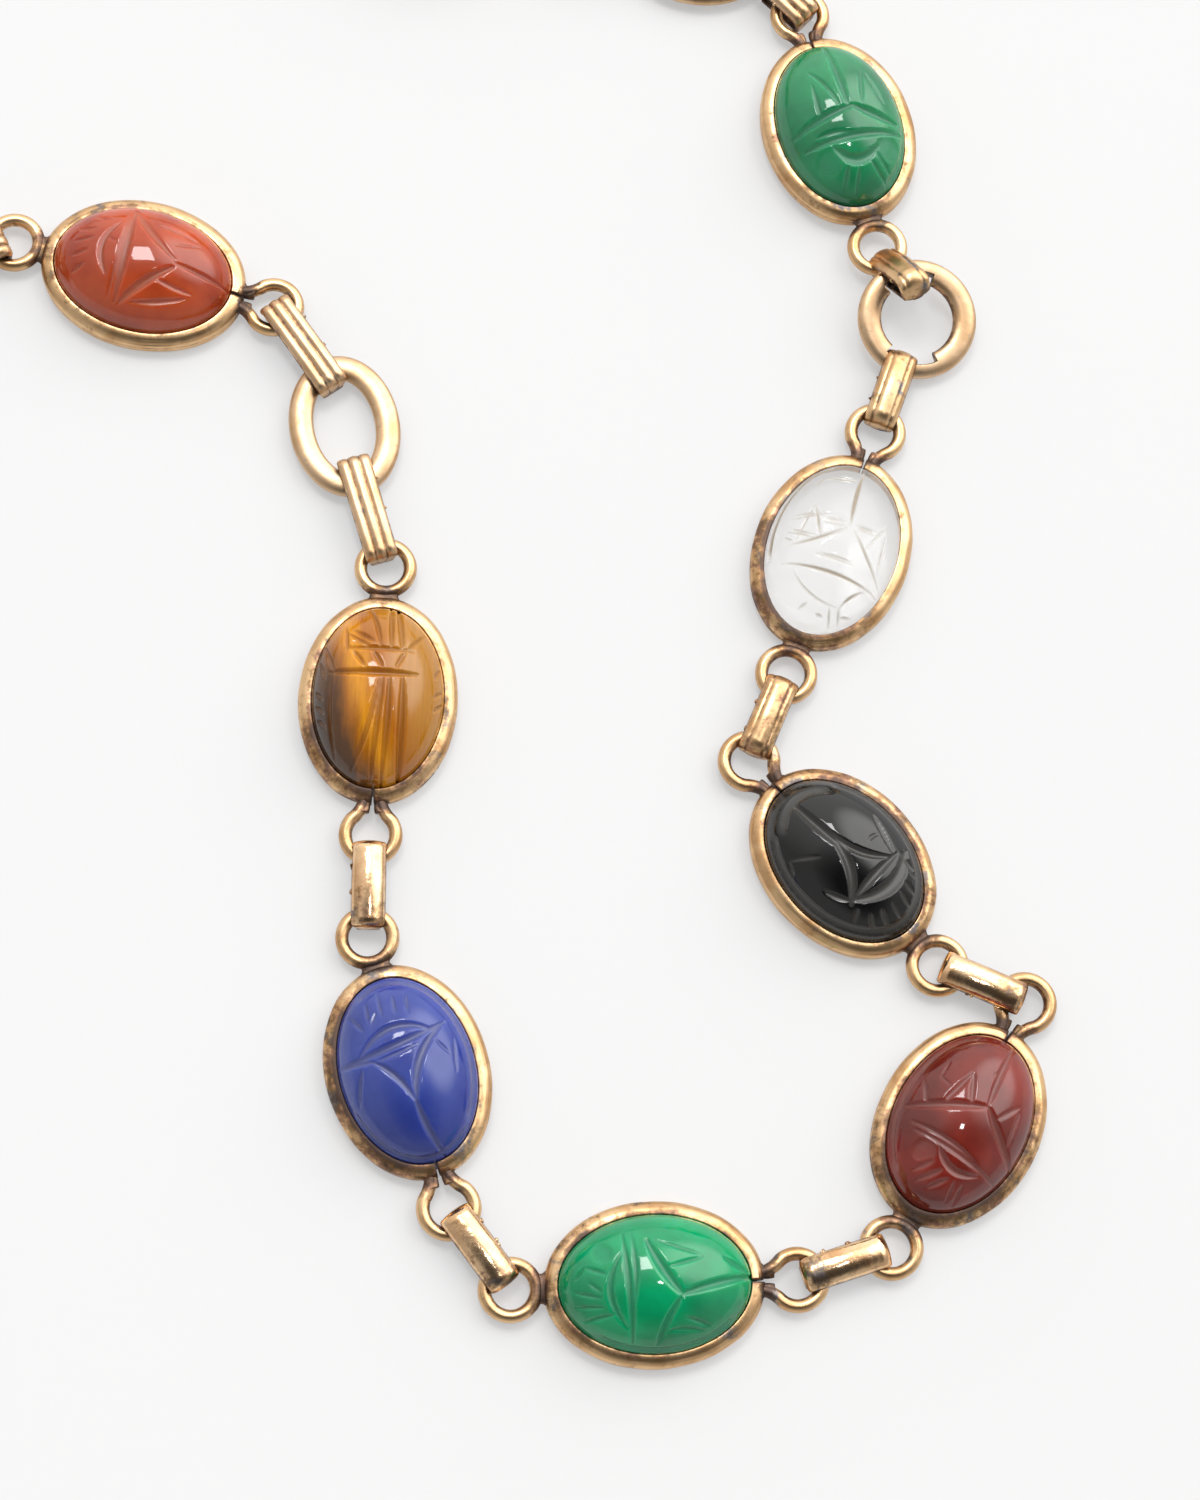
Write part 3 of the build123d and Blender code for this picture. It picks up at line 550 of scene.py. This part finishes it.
def make_stone(number):
    """A carved stone: the dome with its cuts, the girdle and the back."""
    stone = STONES[number]
    across, along = (141, 185) if int(number) <= IN_THE_PHOTO else (71, 93)
    u, v = np.meshgrid(np.linspace(-1, 1, along), np.linspace(-1, 1, across))
    u, v = u.ravel(), v.ravel()
    # the square grid is drawn onto a round one, then spaced evenly down the dome
    disc_x, disc_y = u * np.sqrt(1 - v ** 2 / 2), v * np.sqrt(1 - u ** 2 / 2)
    out = np.clip(np.hypot(disc_x, disc_y), 1e-9, 1)
    reach = DOME_HALF * np.sin(out * pi / 2)
    x, y = reach * disc_x / out, reach * STONE_RATIO * disc_y / out
    z = DOME_FOOT + DOME_HEIGHT * np.cos(out * pi / 2)
    depth = np.maximum.reduce([DEPTHS[type(cut)](cut, x, y) for cut in CUTS[stone]])
    depth = depth * DEEPER.get(stone, 1.0)
    normal = np.stack([x / DOME_HALF ** 2, y / (DOME_HALF * STONE_RATIO) ** 2,
                       (z - DOME_FOOT) / DOME_HEIGHT ** 2], 1)
    normal /= np.linalg.norm(normal, axis=1)[:, None]
    points = np.stack([x, y, z], 1) - normal * depth[:, None]
    faces = grid_faces(across, along)
    carved = depth / CUT_DEPTH
    if stone == "black onyx":
        # the polish is worn grey round its edge
        rim = np.hypot(x / DOME_HALF, y / DOME_HALF / STONE_RATIO)
        uneven = 1 + 0.5 * np.sin(9 * x) * np.sin(11 * y)
        carved = np.maximum(carved, 0.35 * share(rim, 0.86, 0.92) * uneven)
    uv = np.stack([x / STONE_HALF / 2 + 0.5, y / (STONE_HALF * STONE_RATIO) / 2 + 0.5], 1)
    # the grid's edge, in order, then the girdle and the back
    edge = list(range(along))
    edge += [r * along + along - 1 for r in range(1, across)]
    edge += [(across - 1) * along + c for c in range(along - 2, -1, -1)]
    edge += [r * along for r in range(across - 2, 0, -1)]
    edge_x, edge_y = x[edge] / DOME_HALF, y[edge] / DOME_HALF
    levels = ((STONE_HALF, GIRDLE_HIGH), (STONE_HALF, GIRDLE_LOW),
              (STONE_HALF - BACK_BEVEL, STONE_BACK), (STONE_HALF * 0.05, STONE_BACK))
    count = len(edge)
    rows, upper = [], edge
    for half, height in levels:
        start = len(points) + len(rows) * count
        rows.append(np.stack([edge_x * half, edge_y * half, np.full(count, height)], 1))
        ring = list(range(start, start + count))
        faces += [(upper[i], upper[(i + 1) % count], ring[(i + 1) % count], ring[i]) for i in range(count)]
        upper = ring
    faces.append(tuple(upper))
    below = np.concatenate(rows)
    points = np.concatenate([points, below])
    carved = np.concatenate([carved, np.zeros(len(below))])
    uv = np.concatenate([uv, below[:, :2] / (2 * STONE_HALF, 2 * STONE_HALF * STONE_RATIO) + 0.5])
    make_piece(f"carved_stone_{number}", points, faces, place_of("setting_" + number),
               STONE_MATERIALS[stone], "stone_" + number, {"carved": carved}, uv)


# Sweeping
def start_tree(name, inputs):
    """A geometry tree with named inputs and a mesh for its result, and the outputs that give its inputs."""
    tree = bpy.data.node_groups.new(name, "GeometryNodeTree")
    for label, kind in inputs.items():
        tree.interface.new_socket(label, in_out="INPUT", socket_type="NodeSocket" + kind)
    tree.interface.new_socket("Mesh", in_out="OUTPUT", socket_type="NodeSocketGeometry")
    return tree, add(tree, "NodeGroupInput").outputs


def end_tree(tree, geometry, metal):
    """Makes every instance real and gives it its metal."""
    real = add(tree, "GeometryNodeRealizeInstances", {"Geometry": geometry})
    finished = add(tree, "GeometryNodeSetMaterial", {"Geometry": real, "Material": metal})
    add(tree, "NodeGroupOutput", {"Mesh": finished})
    return tree


def sweep_tree():
    """Geometry nodes that draw a section along a flat path, scaled by the path's own radius."""
    tree, given = start_tree("section along a path", {
        "Path": "Geometry", "Section": "Object", "Metal": "Material"})
    section = add(tree, "GeometryNodeObjectInfo", {"Object": given["Section"]}).outputs["Geometry"]
    level = add(tree, "GeometryNodeSetCurveNormal", {"Curve": given["Path"]}, mode="Z_UP")
    radius = add(tree, "GeometryNodeInputRadius")
    drawn = add(tree, "GeometryNodeCurveToMesh", {
        "Curve": level, "Profile Curve": section, "Scale": radius, "Fill Caps": True})
    return end_tree(tree, drawn, given["Metal"])


def grain_tree():
    """Geometry nodes that set a small uneven grain of solder on each point."""
    tree, given = start_tree("solder grains", {
        "Points": "Geometry", "Grain": "Float", "Seed": "Int", "Metal": "Material"})
    ball = add(tree, "GeometryNodeMeshIcoSphere", {"Subdivisions": 2, "Radius": given["Grain"]})
    size = add(tree, "FunctionNodeRandomValue", {
        0: (0.6, 0.5, 0.5), 1: (1.5, 1.1, 1.1), "Seed": given["Seed"]}, data_type="FLOAT_VECTOR")
    turned = add(tree, "FunctionNodeRandomValue", {
        0: (0, 0, 0), 1: (3, 3, 3), "Seed": given["Seed"]}, data_type="FLOAT_VECTOR")
    laid = add(tree, "GeometryNodeInstanceOnPoints", {
        "Points": given["Points"], "Instance": ball, "Rotation": turned, "Scale": size})
    return end_tree(tree, laid, given["Metal"])


SWEEP, GRAINS = sweep_tree(), grain_tree()


def lay_curve(name, path, closed):
    """A curve object through (x, y, z) or (x, y, z, radius) points."""
    curve = bpy.data.curves.new(name, "CURVE")
    curve.dimensions = "3D"
    spline = curve.splines.new("POLY")
    spline.points.add(len(path) - 1)
    for point, place in zip(spline.points, path):
        point.co = (*place[:3], 1)
        point.radius = place[3] if len(place) > 3 else 1.0
    spline.use_cyclic_u = closed
    return put_in_scene(name, curve)


def take_result(holder, tree, inputs):
    """Points and faces that a tree gives on an object, which is then cleared away."""
    modifier = holder.modifiers.new(tree.name, "NODES")
    modifier.node_group = tree
    for item in tree.interface.items_tree:
        if item.in_out == "INPUT" and item.name in inputs:
            modifier[item.identifier] = inputs[item.name]
    seen = holder.evaluated_get(bpy.context.evaluated_depsgraph_get())
    mesh = bpy.data.meshes.new_from_object(seen)
    points = np.empty(len(mesh.vertices) * 3)
    mesh.vertices.foreach_get("co", points)
    faces = [tuple(p.vertices) for p in mesh.polygons]
    holder.modifiers.clear()
    bpy.data.objects.remove(holder)
    bpy.data.meshes.remove(mesh)
    return points.reshape(-1, 3), faces


def sweep(path, section, closed):
    """A section of (out, up) points drawn along an anticlockwise path, as a row for each place on it."""
    profile = lay_curve("section", [(out, -up, 0) for out, up in section], True)
    inputs = {"Section": profile, "Metal": ROSE_GOLD}
    points, faces = take_result(lay_curve("path", path, closed), SWEEP, inputs)
    bpy.data.objects.remove(profile)
    return points.reshape(len(path), len(section), 3), faces


# Settings
def rim_section():
    """The rim cut across, all the way round: (distance out from the stone's opening, height)."""
    lip = [(-0.062, 1.27), (-0.075, 1.4), (-0.09, 1.55), (-0.09, 1.64), (-0.075, 1.68)]
    upper_ridge = arc(-0.05, 0.97, 0.94, 0.73, 90, -8, 20)
    lower_ridge = arc(0.45, 0.44, 0.43, 0.42, 60, -78, 14)
    inside = [(0.1, 0.02), (0.02, 0.1), (0.0, 0.4), (0.34, 0.42), (0.38, 1.1)]
    return lip + upper_ridge + lower_ridge + inside


def add_rim(shape, random, wear, side, steps):
    """The oval rim, pressed by hand, and stained by so much wear on one side."""
    section = rim_section()
    d, z = np.array(section).T
    half_slit = SLIT / 2 / (LIP_HALF * STONE_RATIO)
    angles = np.linspace(half_slit, 2 * pi - half_slit, steps)
    path = [(LIP_HALF * cos(a), LIP_HALF * STONE_RATIO * sin(a), 0) for a in angles]
    points, faces = sweep(path, section, False)
    # the crest and the wall waver a little, and one end of the slit stands back
    waver = sum(random.uniform(0.004, 0.014) * np.sin(k * angles + random.uniform(0, 2 * pi))
                for k in (3, 5, 8, 13))
    inwards = -points[..., :2] / np.linalg.norm(points[..., :2], axis=2)[..., None]
    wall, crest = d > 0.5, z > 1.3
    points[..., :2] += inwards * (np.clip(waver[:, None, None] + 0.012, 0, 1) * wall[None, :, None])
    points[..., 2] -= np.clip(waver[:, None] * 1.2 + 0.015, 0, 1) * crest[None]
    step = SLIT_STEP * share(angles - angles[0], 0.1, 0)
    points[..., :2] += inwards * (step[:, None, None] * wall[None, :, None])
    # stained between the ridges and beside the stone in patches that come and go; darker low on the wall,
    # which is painted shade
    near = 0.5 + 0.5 * np.cos(angles - radians(side))
    drift = near ** 1.3 * (0.8 + 0.2 * np.sin(7 * angles + random.uniform(0, 6)))
    beside = share(d, 0.45, 0.15) * (z > 1.2)
    between = 0.9 * share(np.abs(z - RIDGE_GAP), 0.2, 0)
    # painted shade on the lowest 0.4 mm of the wall, with tarnish between the ridges and at the lip
    hollows_and_low_shade = np.maximum.reduce([between, 0.7 * share(z, 0.4, 0), 0.8 * share(d, -0.07, -0.09)])
    heavy = wear ** 2 * drift
    stained = np.maximum.reduce([(0.22 + 0.75 * heavy)[:, None] * beside[None],
                                 np.broadcast_to(wear * hollows_and_low_shade[None], points.shape[:2]),
                                 np.broadcast_to(0.45 * heavy[:, None], points.shape[:2])])
    # darkest at both ends, where the solder's heat and flux were
    from_slit = np.minimum(angles, 2 * pi - angles)
    heated = np.maximum(share(np.abs(angles - pi), 0.26, 0), share(from_slit, 0.3, 0))
    ends = heated[:, None] * (0.45 + 0.5 * share(d, 0.45, 0.75)[None])
    ends = np.maximum(ends, 1.2 * share(from_slit, 0.06, 0)[:, None])
    shape.join(points, faces, np.maximum(stained, ends).ravel())


def add_solder(shape, side, first, last):
    """A fillet of solder between a loop and the rim, from one share of its width to another."""
    turn = round_turn(20)
    wide_share, tall_share = cushion(turn, 0.8, 0.7)
    rows = []
    for x in np.linspace(FRAME_LENGTH - 0.6, FRAME_LENGTH + 0.62, 14):
        flare = ((x - FRAME_LENGTH - 0.12) / 0.42) ** 2
        wide = SOLDER_WIDE + 0.34 * min(flare, 2.4)
        tall = SOLDER_TALL + 0.07 * min(flare, 2.0)
        y = wide * (first + last) / 2 + wide * (last - first) / 2 * wide_share
        rows.append(np.stack([np.full(len(turn), side * x), y, LOOP_Z + tall * tall_share], 1))
    faces = grid_faces(len(rows), len(turn), close_columns=True)
    faces.append(tuple(range(len(turn))))
    faces.append(tuple((len(rows) - 1) * len(turn) + c for c in range(len(turn))))
    shape.join(np.concatenate(rows), faces, SOLDER_TARNISH)


def loop_path(side, open_end, random):
    """The wire of a loop, round its middle. An open one is drawn in to the slit like the neck of a drop."""
    if not open_end:
        angles = round_turn(72)
        thin = [1.0 - 0.015 * (1 + sin(3 * a + random.uniform(0, 0.3))) for a in angles]
        return [(side * LOOP_CENTRE - side * LOOP_RADIUS * cos(a), -side * LOOP_RADIUS * sin(a), LOOP_Z, s)
                for a, s in zip(angles, thin)]
    angles = np.linspace(radians(52), radians(308), 60)
    ring = [(LOOP_CENTRE - LOOP_RADIUS * cos(a), -LOOP_RADIUS * sin(a), LOOP_Z, 1.0) for a in angles]
    start, leave = np.array([FRAME_LENGTH - 0.35, 0.6]), np.array([FRAME_LENGTH + 0.45, 0.66])
    meet = np.array([LOOP_CENTRE - LOOP_RADIUS * cos(angles[0]), LOOP_RADIUS * sin(angles[0])])
    neck = []
    for t in np.linspace(0, 1, 12, endpoint=False):
        x, y = (1 - t) ** 2 * start + 2 * t * (1 - t) * leave + t ** 2 * meet
        neck.append((x, y, LOOP_Z, 0.9 + 0.1 * t))
    return [(x, -y, z, s) for x, y, z, s in neck] + ring + neck[::-1]


def make_setting(number):
    """A setting: the rim, its two wire loops and their solder."""
    random = np.random.default_rng(int(number) * 7)
    shape = Shape()
    wear, stained_side = STAINS[number]
    add_rim(shape, random, wear, stained_side, 180 if int(number) <= IN_THE_PHOTO else 120)
    wire = [(LOOP_WIRE / 2 * cos(a), LOOP_WIRE / 2 * sin(a)) for a in round_turn(20)]
    for side in (-1, 1):
        points, faces = sweep(loop_path(side, side > 0, random), wire, side < 0)
        x, y, z = np.abs(points[..., 0]), points[..., 1], points[..., 2]
        # dark by the rim, and inside the loop where the connector keeps it from being rubbed; darker low
        # down, which is painted shade
        low = share(z - LOOP_Z, 0.1, -0.4)
        inner = share(np.hypot(x - LOOP_CENTRE, y), 1.65, 1.3)
        dark = share(x - FRAME_LENGTH, 1.15, 0.15)
        shape.join(points, faces, np.maximum(dark, 0.55 * np.maximum(low, inner) * wear).ravel())
    add_solder(shape, -1, -1.0, 1.0)
    add_solder(shape, 1, SOLDER_SLIT, 1.0)
    add_solder(shape, 1, -1.0, -SOLDER_SLIT)
    points, faces, tarnish_and_shade = shape.gathered()
    name = "setting_" + number
    make_piece("bezel_" + number, points, faces, place_of(name), ROSE_GOLD, name,
               {"tarnish_and_shade": tarnish_and_shade})


# Connectors
def side_groove(y, width):
    """How much of a grooved connector's side groove is at a share of its half width."""
    return np.exp(-((np.abs(y) - GROOVE_AT) / width) ** 2)


def crown(style, y):
    """How far a connector's front lies below its crown, in mm, across its width from y -1 to 1."""
    if style == "ribbed":
        rib = np.abs(np.sin(1.5 * pi * (y + 1))) ** 0.55
        return RIBBED_CROWN * y ** 2 + RIB_DEPTH * (1 - rib)
    fall = 0.72 * (1 - np.sqrt(1 - 0.97 * y ** 2)) / (1 - np.sqrt(0.03))
    return fall + 0.09 * side_groove(y, 0.09) if style == "grooved" else fall


def side_path(length, top):
    """A connector from the side, (x, height): from its fold round one end, over the top and back."""
    half, low, arch = length / 2, TAB_BEND, 0.16
    bend_x, bend_z = half - top, CONNECTOR_HEIGHT - arch - top
    tab_x = half - low - TAB_INSET
    corners = ((tab_x, low, low, -90), (bend_x, bend_z, top, 0), (-bend_x, bend_z, top, 90),
               (-tab_x, low, low, 180))
    points = [(x, 0.0) for x in (FOLD_GAP / 2, half / 3, half * 2 / 3)]
    for number, (x, z, radius, first) in enumerate(corners):
        points += arc(x, z, radius, radius, first, first + 90, 14 if radius > 0.7 else 8)
        if number == 1:
            points += [(bend_x * at, CONNECTOR_HEIGHT - arch * at ** 2)
                       for at in np.linspace(1, -1, 18)[1:-1]]
    return points + [(x, 0.0) for x in (-half * 2 / 3, -half / 3, -FOLD_GAP / 2)]


def solder_grains(name, number, random, height):
    """Grains of solder squeezed out on one side, where the tabs meet underneath."""
    plain = name.endswith("plain")
    length = CONNECTOR_LENGTH[name.split("_")[2]]
    one_side = -1 if name == "connector_03_plain" else 1
    places = []
    for at in (-0.42, 0.16):
        x = at * length / 2 + random.uniform(-0.15, 0.15)
        places += [(x + random.uniform(-0.2, 0.2), one_side * (PLATE_WIDTH / 2 + random.uniform(-0.08, 0.03)),
                    height + random.uniform(-0.08, 0.08)) for _ in range(3 if plain else 1)]
    mesh = bpy.data.meshes.new("grain places")
    mesh.from_pydata(places, [], [])
    inputs = {"Grain": GRAIN_RADIUS, "Seed": number, "Metal": ROSE_GOLD}
    return take_result(put_in_scene("grain places", mesh), GRAINS, inputs)


def make_connector(name, number):
    """A folded strip with its front plate, and the grains of solder beside it."""
    style = name.split("_")[2]
    ribbed, grooved = style == "ribbed", style == "grooved"
    length = CONNECTOR_LENGTH[style]
    random = np.random.default_rng(100 + number)
    across = np.linspace(-1, 1, 43 if ribbed else 33)
    inner = np.linspace(0.98, -0.98, 21 if ribbed else 15)
    section = [(0.0, y) for y in across] + [(-STRIP, y) for y in inner]
    # drawn flat, then stood on its side
    outline = side_path(length, GROOVED_BEND if grooved else END_BEND)
    flat, faces = sweep([(x, z, 0) for x, z in outline], section, False)
    points = flat[..., [0, 2, 1]]
    middle = len(across) // 2
    out = points[:, middle] - points[:, len(across) + len(inner) // 2]
    out /= np.linalg.norm(out, axis=1)[:, None]
    height = points[:, middle, 2]
    # narrow tabs below widen to the plate above
    high = share(height, 0.15, 1.05) if grooved else share(height, 0.75, 1.25)
    high = np.sqrt(1 - (1 - high) ** 2) if grooved else high * high * (3 - 2 * high)
    front = share(height, 0.35, 0.95)
    if grooved:
        front = np.maximum(front, 0.6 * share(np.abs(points[:, middle, 0]) - length / 2, -0.9, -0.5))
    fall = crown(style, across)
    under = np.interp(inner, across, fall) * 0.72
    sink = np.concatenate([fall, under])[None] * (front * (0.3 + 0.7 * np.abs(out[:, 2])))[:, None]
    # the tabs' edges are worn round
    edge = 0.12 * (1 - np.sqrt(1 - share(np.abs(across), 0.9, 1.0) ** 2))
    sink = sink + np.concatenate([edge, np.zeros(len(inner))])[None]
    half = TAB_WIDTH / 2 + (PLATE_WIDTH - TAB_WIDTH) / 2 * high
    worn = 1 + 0.012 * np.sin(np.linspace(0, 9, len(points)) + random.uniform(0, 6))
    points[..., 1] *= (half * worn)[:, None]
    points -= out[:, None] * np.minimum(sink, CONNECTOR_HEIGHT - 1.5)[..., None]
    points[..., 2] = np.maximum(points[..., 2], FLOOR_GAP)
    # tarnished inside and in its grooves; darker along its edges and low down, which is painted shade
    side = np.concatenate([np.abs(across), np.full(len(inner), 1.3)])
    groove = np.zeros(len(side))
    if ribbed:
        groove[:len(across)] = 0.6 * share(fall - RIBBED_CROWN * across ** 2, 0, RIB_DEPTH) ** 2
    if grooved:
        groove[:len(across)] = 0.5 * side_groove(across, 0.1)
    # painted shade along the plate's edges, with tarnish inside the fold and in the grooves
    tarnish_and_shade = np.maximum(np.clip(side - 0.9, 0, 1)[None] * 7, groove[None])
    # painted shade on the parts below 1.5 mm
    tarnish_and_shade = np.maximum(tarnish_and_shade, 0.8 * share(height, 1.5, 0)[:, None])
    tarnish_and_shade = np.maximum(tarnish_and_shade, DULLED.get(name, 0.0))
    # painted dark reflection: a plain connector darker towards one end
    if style == "plain":
        towards = (-1 if name in DARK_REFLECTION_BEHIND else 1) * points[..., 0] / (length / 2)
        tarnish_and_shade = np.maximum(tarnish_and_shade, 0.42 * share(towards, -0.1, 0.7))
    shape = Shape()
    shape.join(points, faces, np.clip(tarnish_and_shade, 0, 1).ravel())
    shape.join(*solder_grains(name, number, random, CONNECTOR_HEIGHT - fall[-1] - 0.2), GRAIN_TARNISH)
    points, faces, tarnish_and_shade = shape.gathered()
    metal = {"ribbed": PALE_GOLD, "plain": BRIGHT_GOLD, "grooved": ROSE_GOLD}[style]
    make_piece("folded_" + name, points, faces, place_of(name), metal,
               name, {"tarnish_and_shade": tarnish_and_shade})


# Ring links
def ring_section(band):
    """A ring's band cut across: a cushion shape, (distance from its middle line, height)."""
    out, up = cushion(round_turn(32), 0.9, 0.9)
    return list(zip(out * band / 2, up * RING_THICKNESS / 2 + RING_THICKNESS / 2))


def make_oval_ring(name):
    long_half, wide_half = OVAL_HALF - OVAL_BAND / 2, OVAL_WIDTH_HALF - OVAL_BAND / 2
    path = [(long_half * cos(a), wide_half * sin(a), 0) for a in round_turn(128)]
    points, faces = sweep(path, ring_section(OVAL_BAND), True)
    # painted shade: the band darker towards its bottom
    tarnish_and_shade = 0.6 * share(points[..., 2], 0.4, 0)
    make_piece("cast_" + name, points.reshape(-1, 3), faces, place_of(name), PALE_GOLD, name,
               {"tarnish_and_shade": tarnish_and_shade.ravel()})


def make_round_ring():
    name = "ring_round"
    turn, origin = place_of(name)
    back = SOLIDS["connector_08_grooved"][1] - origin
    back_turn = np.degrees(np.arctan2(back @ turn[:, 1], back @ turn[:, 0])) + SEAT_TURN
    seats = [(radians(a - SEAT_HALF_ANGLE), radians(a + SEAT_HALF_ANGLE)) for a in (back_turn, -SEAT_TURN)]
    # the seats' ends get a step of their own
    angles = list(round_turn(120))
    angles += [(e + d) % (2 * pi) for seat in seats for e in seat for d in (-0.006, 0.006)]
    angles = np.array(sorted(angles))
    middle = (ROUND_RADIUS + ROUND_HOLE) / 2
    path = [(middle * cos(a), middle * sin(a), 0) for a in angles]
    points, faces = sweep(path, ring_section(ROUND_RADIUS - ROUND_HOLE), True)
    points[..., 2] = FLOOR_GAP + 0.98 * points[..., 2]
    # the seats for the connectors are cut into the inside
    seated = np.array([any((a - first) % (2 * pi) < last - first for first, last in seats) for a in angles])
    radius = np.hypot(points[..., 0], points[..., 1])
    wanted = np.where(seated[:, None], np.maximum(radius, SEAT_RADIUS), radius)
    points[..., :2] *= (wanted / radius)[..., None]
    tarnish_and_shade = np.maximum(0.7 * share(wanted - ROUND_HOLE, 0.25, 0),
                         0.8 * share(wanted - SEAT_RADIUS, 0.1, 0) * seated[:, None])
    make_piece("cast_ring_round", points.reshape(-1, 3), faces, (turn, origin), PALE_GOLD, name,
               {"tarnish_and_shade": tarnish_and_shade.ravel()})


for number in STONES:
    make_stone(number)
    make_setting(number)
for number, link in enumerate(CHAIN):
    if link.startswith("connector"):
        make_connector(link, number)
    elif link.startswith("ring_oval"):
        make_oval_ring(link)
make_round_ring()
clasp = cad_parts["clasp"]
clasp.data.materials.clear()
clasp.data.materials.append(ROSE_GOLD)


# Surface, light and camera
def make_surface():
    """A matt white board. It glows a little, painted light that keeps the shadows pale."""
    material, tree, shader = start_material("matt white board with painted glow")
    feed(tree, shader, {"Base Color": linear("#a5a5a6"), "Roughness": 0.9,
                        "Emission Color": linear("#ffffff"), "Emission Strength": 0.4})
    mesh = bpy.data.meshes.new("surface")
    size = 1.5
    mesh.from_pydata([(-size, -size, 0), (size, -size, 0), (size, size, 0), (-size, size, 0)],
                     [], [(0, 1, 2, 3)])
    mesh.materials.append(material)
    put_in_scene("surface", mesh)


def add_soft_box(name, place, size, power):
    """A soft box that faces the necklace, in metres and watts."""
    light = bpy.data.lights.new(name, "AREA")
    light.shape = "RECTANGLE"
    light.size, light.size_y = size
    light.energy = power
    holder = put_in_scene(name, light)
    holder.location = place
    holder.rotation_euler = (-Vector(place)).to_track_quat("-Z", "Y").to_euler()


def set_world():
    """A white tent: brightest to the upper right, with a dark opening where the camera stands."""
    world = bpy.data.worlds.new("studio")
    bpy.context.scene.world = world
    world.use_nodes = True
    tree = world.node_tree
    way = add(tree, "ShaderNodeTexCoord").outputs["Generated"]
    opening, wall, window = [
        add(tree, "ShaderNodeVectorMath", {0: way, 1: towards}, operation="DOT_PRODUCT")
        for towards in (CAMERA_OPENING, FAR_WALL, WINDOW_SIDE)]
    shade = add(tree, RANGE, {
        "Value": opening, "From Min": 0.72, "From Max": 0.95, "To Min": 1.0, "To Max": 0.12})
    far = add(tree, RANGE, {"Value": wall, "To Min": 0.55, "To Max": TENT})
    glow = add(tree, RANGE, {"Value": window, "From Min": 0.8, "From Max": 0.95, "To Max": WINDOW},
               interpolation_type="SMOOTHSTEP")
    summed = add(tree, MATH, {0: far, 1: glow}, operation="ADD")
    light = add(tree, MATH, {0: shade, 1: summed}, operation="MULTIPLY")
    feed(tree, tree.nodes["Background"], {"Color": linear("#fffefc"), "Strength": light})


def set_camera():
    camera = bpy.data.cameras.new("camera")
    camera.sensor_fit = "VERTICAL"
    camera.sensor_height = 36.0
    camera.lens = 36.0 * FOCAL_PIXELS / LONG_SIDE_PIXELS
    camera.clip_start = 0.01
    holder = put_in_scene("camera", camera)
    turn = (Matrix.Rotation(radians(CAMERA_ROLL), 3, "Z") @ Matrix.Rotation(radians(CAMERA_LEAN), 3, "Y")
            @ Matrix.Rotation(radians(CAMERA_TILT), 3, "X"))
    holder.rotation_euler = turn.to_euler()
    holder.location = Vector(CAMERA_PLACE) * MM
    bpy.context.scene.camera = holder


make_surface()
set_world()
# two soft boxes nearly overhead, one large and one small, in front of the camera's mirror image
add_soft_box("large soft box", (-0.07, 0.36, 0.8), (0.24, 0.28), 2.5)
add_soft_box("small soft box", (0.115, -0.03, 0.8), (0.05, 0.06), 0.3)
set_camera()
bpy.context.scene.view_settings.view_transform = "Standard"
